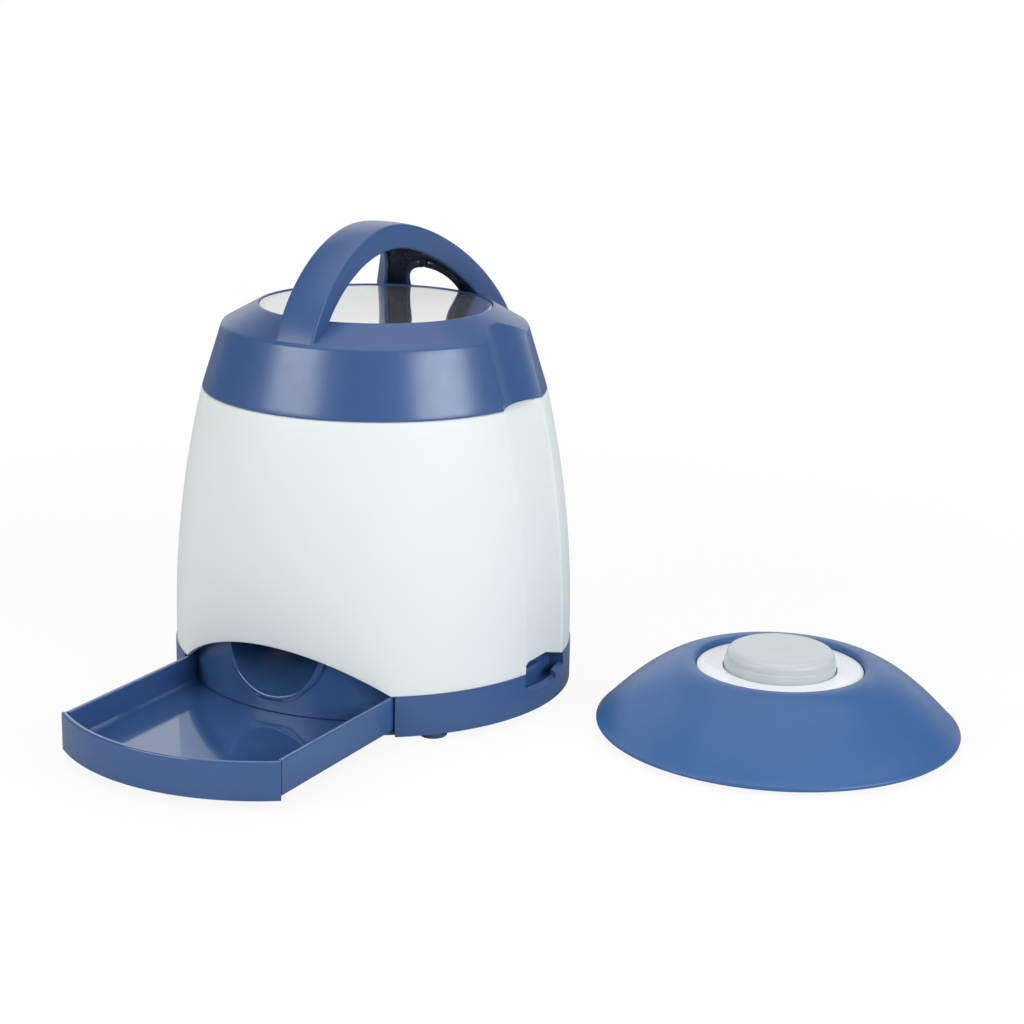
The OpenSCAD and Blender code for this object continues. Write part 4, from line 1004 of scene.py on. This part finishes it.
t = np.linspace(0.0, 1.0, 60)
saucer_r = REMOTE_R + (RIM_R + 1.3 - REMOTE_R) * t
saucer_z = EDGE_Z + (RIM_TOP - EDGE_Z) * (1 - (1 - t) ** SIDE_CURVE)
saucer = np.stack([saucer_r, saucer_z], -1)[3:]
hem_turn = np.linspace(-math.pi / 2, math.pi * 0.38, 12)
hem = np.stack([REMOTE_R - HEM + HEM * np.cos(hem_turn), PAD_H + HEM + HEM * np.sin(hem_turn)], -1)
roll = np.linspace(0.0, math.pi / 2, 12)
roll_r = RIM_R - 0.4
rim_r = roll_r - (roll_r - DISC_R - 0.4) * np.sin(roll)
rim = np.stack([rim_r, DISC_TOP + (RIM_TOP - DISC_TOP) * np.cos(roll)], -1)
seat = np.array([[DISC_R + 0.4, DISC_UNDER], [DISC_R - 1.5, DISC_UNDER], [DISC_R - 1.5, DISC_UNDER - 2.4],
                 [RIM_R, DISC_UNDER - 2.4]])
inside = saucer[::-1][2:-4] - np.array([1.5, 2.0])
cover = np.concatenate([hem, saucer, rim, seat, inside, [[REMOTE_R - 3.0, PAD_H]]])
piece("remote_saucer", [turned(cover, REMOTE, 240)], "remote", "blue_soft", ["remote_cover"], 40.0)

# %% [markdown]
# ### The disc
# The disc is a flat white ring around the button, with a little air between them. A cylinder with a hole
# would do, but its edges would be sharp. So it is a lathe shape with four rounded corners.

# %% Remote disc
BUTTON_R = 25.4
bore_r = BUTTON_R + 0.4
disc = rounded([(bore_r, DISC_UNDER), (DISC_R, DISC_UNDER), (DISC_R, DISC_TOP), (bore_r, DISC_TOP)],
               [0.2, 0.2, 0.6, 0.6])
piece("remote_ring", [turned(refined(disc, 4.0), REMOTE, 192)], "remote", "body_white",
      ["remote_disc"], look=disc_white)

# %% [markdown]
# ### The button
# The button is a cap: its top is slightly crowned, its shoulder well rounded, a small ledge runs round
# its side, and a flange under the disc keeps it in. Inside it is hollow around a stem. A bevelled
# cylinder would do for the top, but not for the ledge and the flange. So the outline goes from the
# middle of the top, down the outside and back up to the stem, and is carried round the axis.

# %% Button
BUTTON_TOP = DISC_TOP + 9.4
BUTTON_WALL = 2.0
STEM_R = 4.0
STEM_Z = 21.6
FLANGE_TOP = DISC_UNDER - 0.05
FLANGE_T = 2.2
LEDGE = 0.8
LEDGE_Z = DISC_TOP + 3.2
CROWN_RISE = 0.5
CAP_ROUND = 3.6
CROWN_R = BUTTON_R - LEDGE - CAP_ROUND
crown_r = np.linspace(0.0, CROWN_R, 14)
crown = np.stack([crown_r, BUTTON_TOP - CROWN_RISE * (crown_r / CROWN_R) ** 2], -1)
turn = np.linspace(0.0, math.pi / 2, 10)[1:]
shoulder_low = BUTTON_TOP - CROWN_RISE - CAP_ROUND * (1 - np.cos(turn))
shoulder = np.stack([CROWN_R + CAP_ROUND * np.sin(turn), shoulder_low], -1)
ledge = np.stack([BUTTON_R - LEDGE * (1 - np.sin(turn)), LEDGE_Z + LEDGE * np.cos(turn)], -1)
flange_r = BUTTON_R + 3.4
inner_r = BUTTON_R - BUTTON_WALL
flange_low = FLANGE_TOP - FLANGE_T
skirt = np.array([[BUTTON_R, FLANGE_TOP], [flange_r, FLANGE_TOP], [flange_r, flange_low],
                  [inner_r, flange_low]])
cap_inside = np.array([[inner_r, BUTTON_TOP - 5.5], [inner_r - 2.5, BUTTON_TOP - 3.0],
                       [STEM_R, BUTTON_TOP - 2.6], [STEM_R, STEM_Z], [0.0, STEM_Z]])
cap = np.concatenate([crown, shoulder, ledge, skirt, cap_inside])
piece("remote_push_cap", [turned(refined(cap, 3.0, closed=False), REMOTE, 192, closed=False)],
      "button", "frosted_plastic", ["remote_button"], 40.0)

# %% [markdown]
# ## The button's spring
# A coil spring stands around the button's stem, with its lower end on the board. Its upper end pushes
# the button up, so it can't ride on one body. It is a small circle carried along a helix, and it rides
# on no body.

# %% Spring
COIL_R = 14.0
WIRE_R = 0.7
COIL_TURNS = 6
COIL_SIDES = 12
CAP_SEAT = BUTTON_TOP - 2.9
coil_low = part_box("button_spring")[0][2] / MM + WIRE_R
coil_high = CAP_SEAT - WIRE_R
t = np.linspace(0.0, 1.0, COIL_TURNS * 36 + 1)[:, None]
around = np.linspace(0.0, 2 * math.pi, COIL_SIDES, endpoint=False)[None]
coil_r = COIL_R + WIRE_R * np.cos(around)
coil_x = REMOTE[0] + coil_r * np.cos(2 * math.pi * COIL_TURNS * t)
coil_y = REMOTE[1] + coil_r * np.sin(2 * math.pi * COIL_TURNS * t)
coil_z = coil_low + (coil_high - coil_low) * t + WIRE_R * np.sin(around)
coil = np.stack([coil_x, coil_y, coil_z], -1)
coil_ends = [np.stack([ring, np.tile(ring.mean(0), (COIL_SIDES, 1))]) for ring in (coil[0], coil[-1])]
coil_surfaces = [grid(coil, wrap_v=True)] + [grid(e, wrap_v=True) for e in coil_ends]
coil_piece = piece("button_coil", coil_surfaces, None, "steel", ["button_spring"])
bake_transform(coil_piece)

# %% [markdown]
# ## The bead around the outlet
# The wall behind the tray has a round mouth for the treats, with a raised bead that catches the light.
# A ring laid flat would leave the curved wall at its sides. So the bead's line is a circle seen from
# the front, pushed back until it meets the wall, and a small circle is carried along that line.

# %% Outlet bead
MOUTH_R = 26.6
MOUTH_Z = 42.0
SHIELD_R = 88.5
BEAD_R = 1.1
t = np.linspace(0.0, 2 * math.pi, 160, endpoint=False)
line_x = MOUTH_R * np.cos(t)
line_y = -np.sqrt(SHIELD_R ** 2 - line_x ** 2)
line = np.stack([line_x, line_y, MOUTH_Z - MOUTH_R * np.sin(t)], -1)
ahead_of = np.roll(line, -1, 0) - np.roll(line, 1, 0)
ahead_of = ahead_of / np.linalg.norm(ahead_of, axis=1)[:, None]
outward = np.stack([line_x, line_y, 0 * t], -1) / SHIELD_R
sideways = np.cross(ahead_of, outward)
a = np.linspace(0.0, 2 * math.pi, 16, endpoint=False)[None, :, None]
bead = line[:, None] + BEAD_R * (np.cos(a) * outward[:, None] + np.sin(a) * sideways[:, None])
piece("outlet_bead", [grid(bead, True, True)], "dispenser", "blue_plastic", look=tray_gloss)

# %% [markdown]
# ## Feet
# The feet are rubber discs with a chamfered edge and a plug that goes through the base's floor. Four
# equal lathe shapes make one piece, which is simpler than an array of objects.

# %% Feet
FOOT_R = 6.5
PLUG_R = 2.0
PLUG_TOP = FOOT_H + 2.8
FOOT_X = BASE_R * 0.695
FOOT_Y = BASE_R * 0.6
foot = rounded([(0, 0), (FOOT_R, 0), (FOOT_R, FOOT_H), (PLUG_R, FOOT_H), (PLUG_R, PLUG_TOP), (0, PLUG_TOP)],
               [0, 0.9, 0.3, 0, 0.5, 0])
places = [(x * FOOT_X, y * FOOT_Y) for x in (-1, 1) for y in (-1, 1)]
piece("rubber_studs", [turned(foot, c, 48, closed=False) for c in places], "dispenser", "rubber_dark",
      ["rubber_feet"])

# %% [markdown]
# ## Soft edges on the drawn parts
# The base, the wall with the outlet and the latch hooks are used as drawn. Their edges are sharp on
# the drawing, but a mould leaves a small radius that catches the light, so each gets a narrow bevel. As
# a modifier it leaves the mesh itself as it is.

# %% Soft edges
for name, width in (("base_shell", 0.5), ("outlet_chute", 0.7), ("latch_hooks", 0.3)):
    soft = nodes[name].modifiers.new("soft_edges", "BEVEL")
    soft.width = width * MM
    soft.segments = 3
    soft.limit_method = "ANGLE"
    soft.angle_limit = math.radians(40.0)
print("soft edges on three drawn parts")
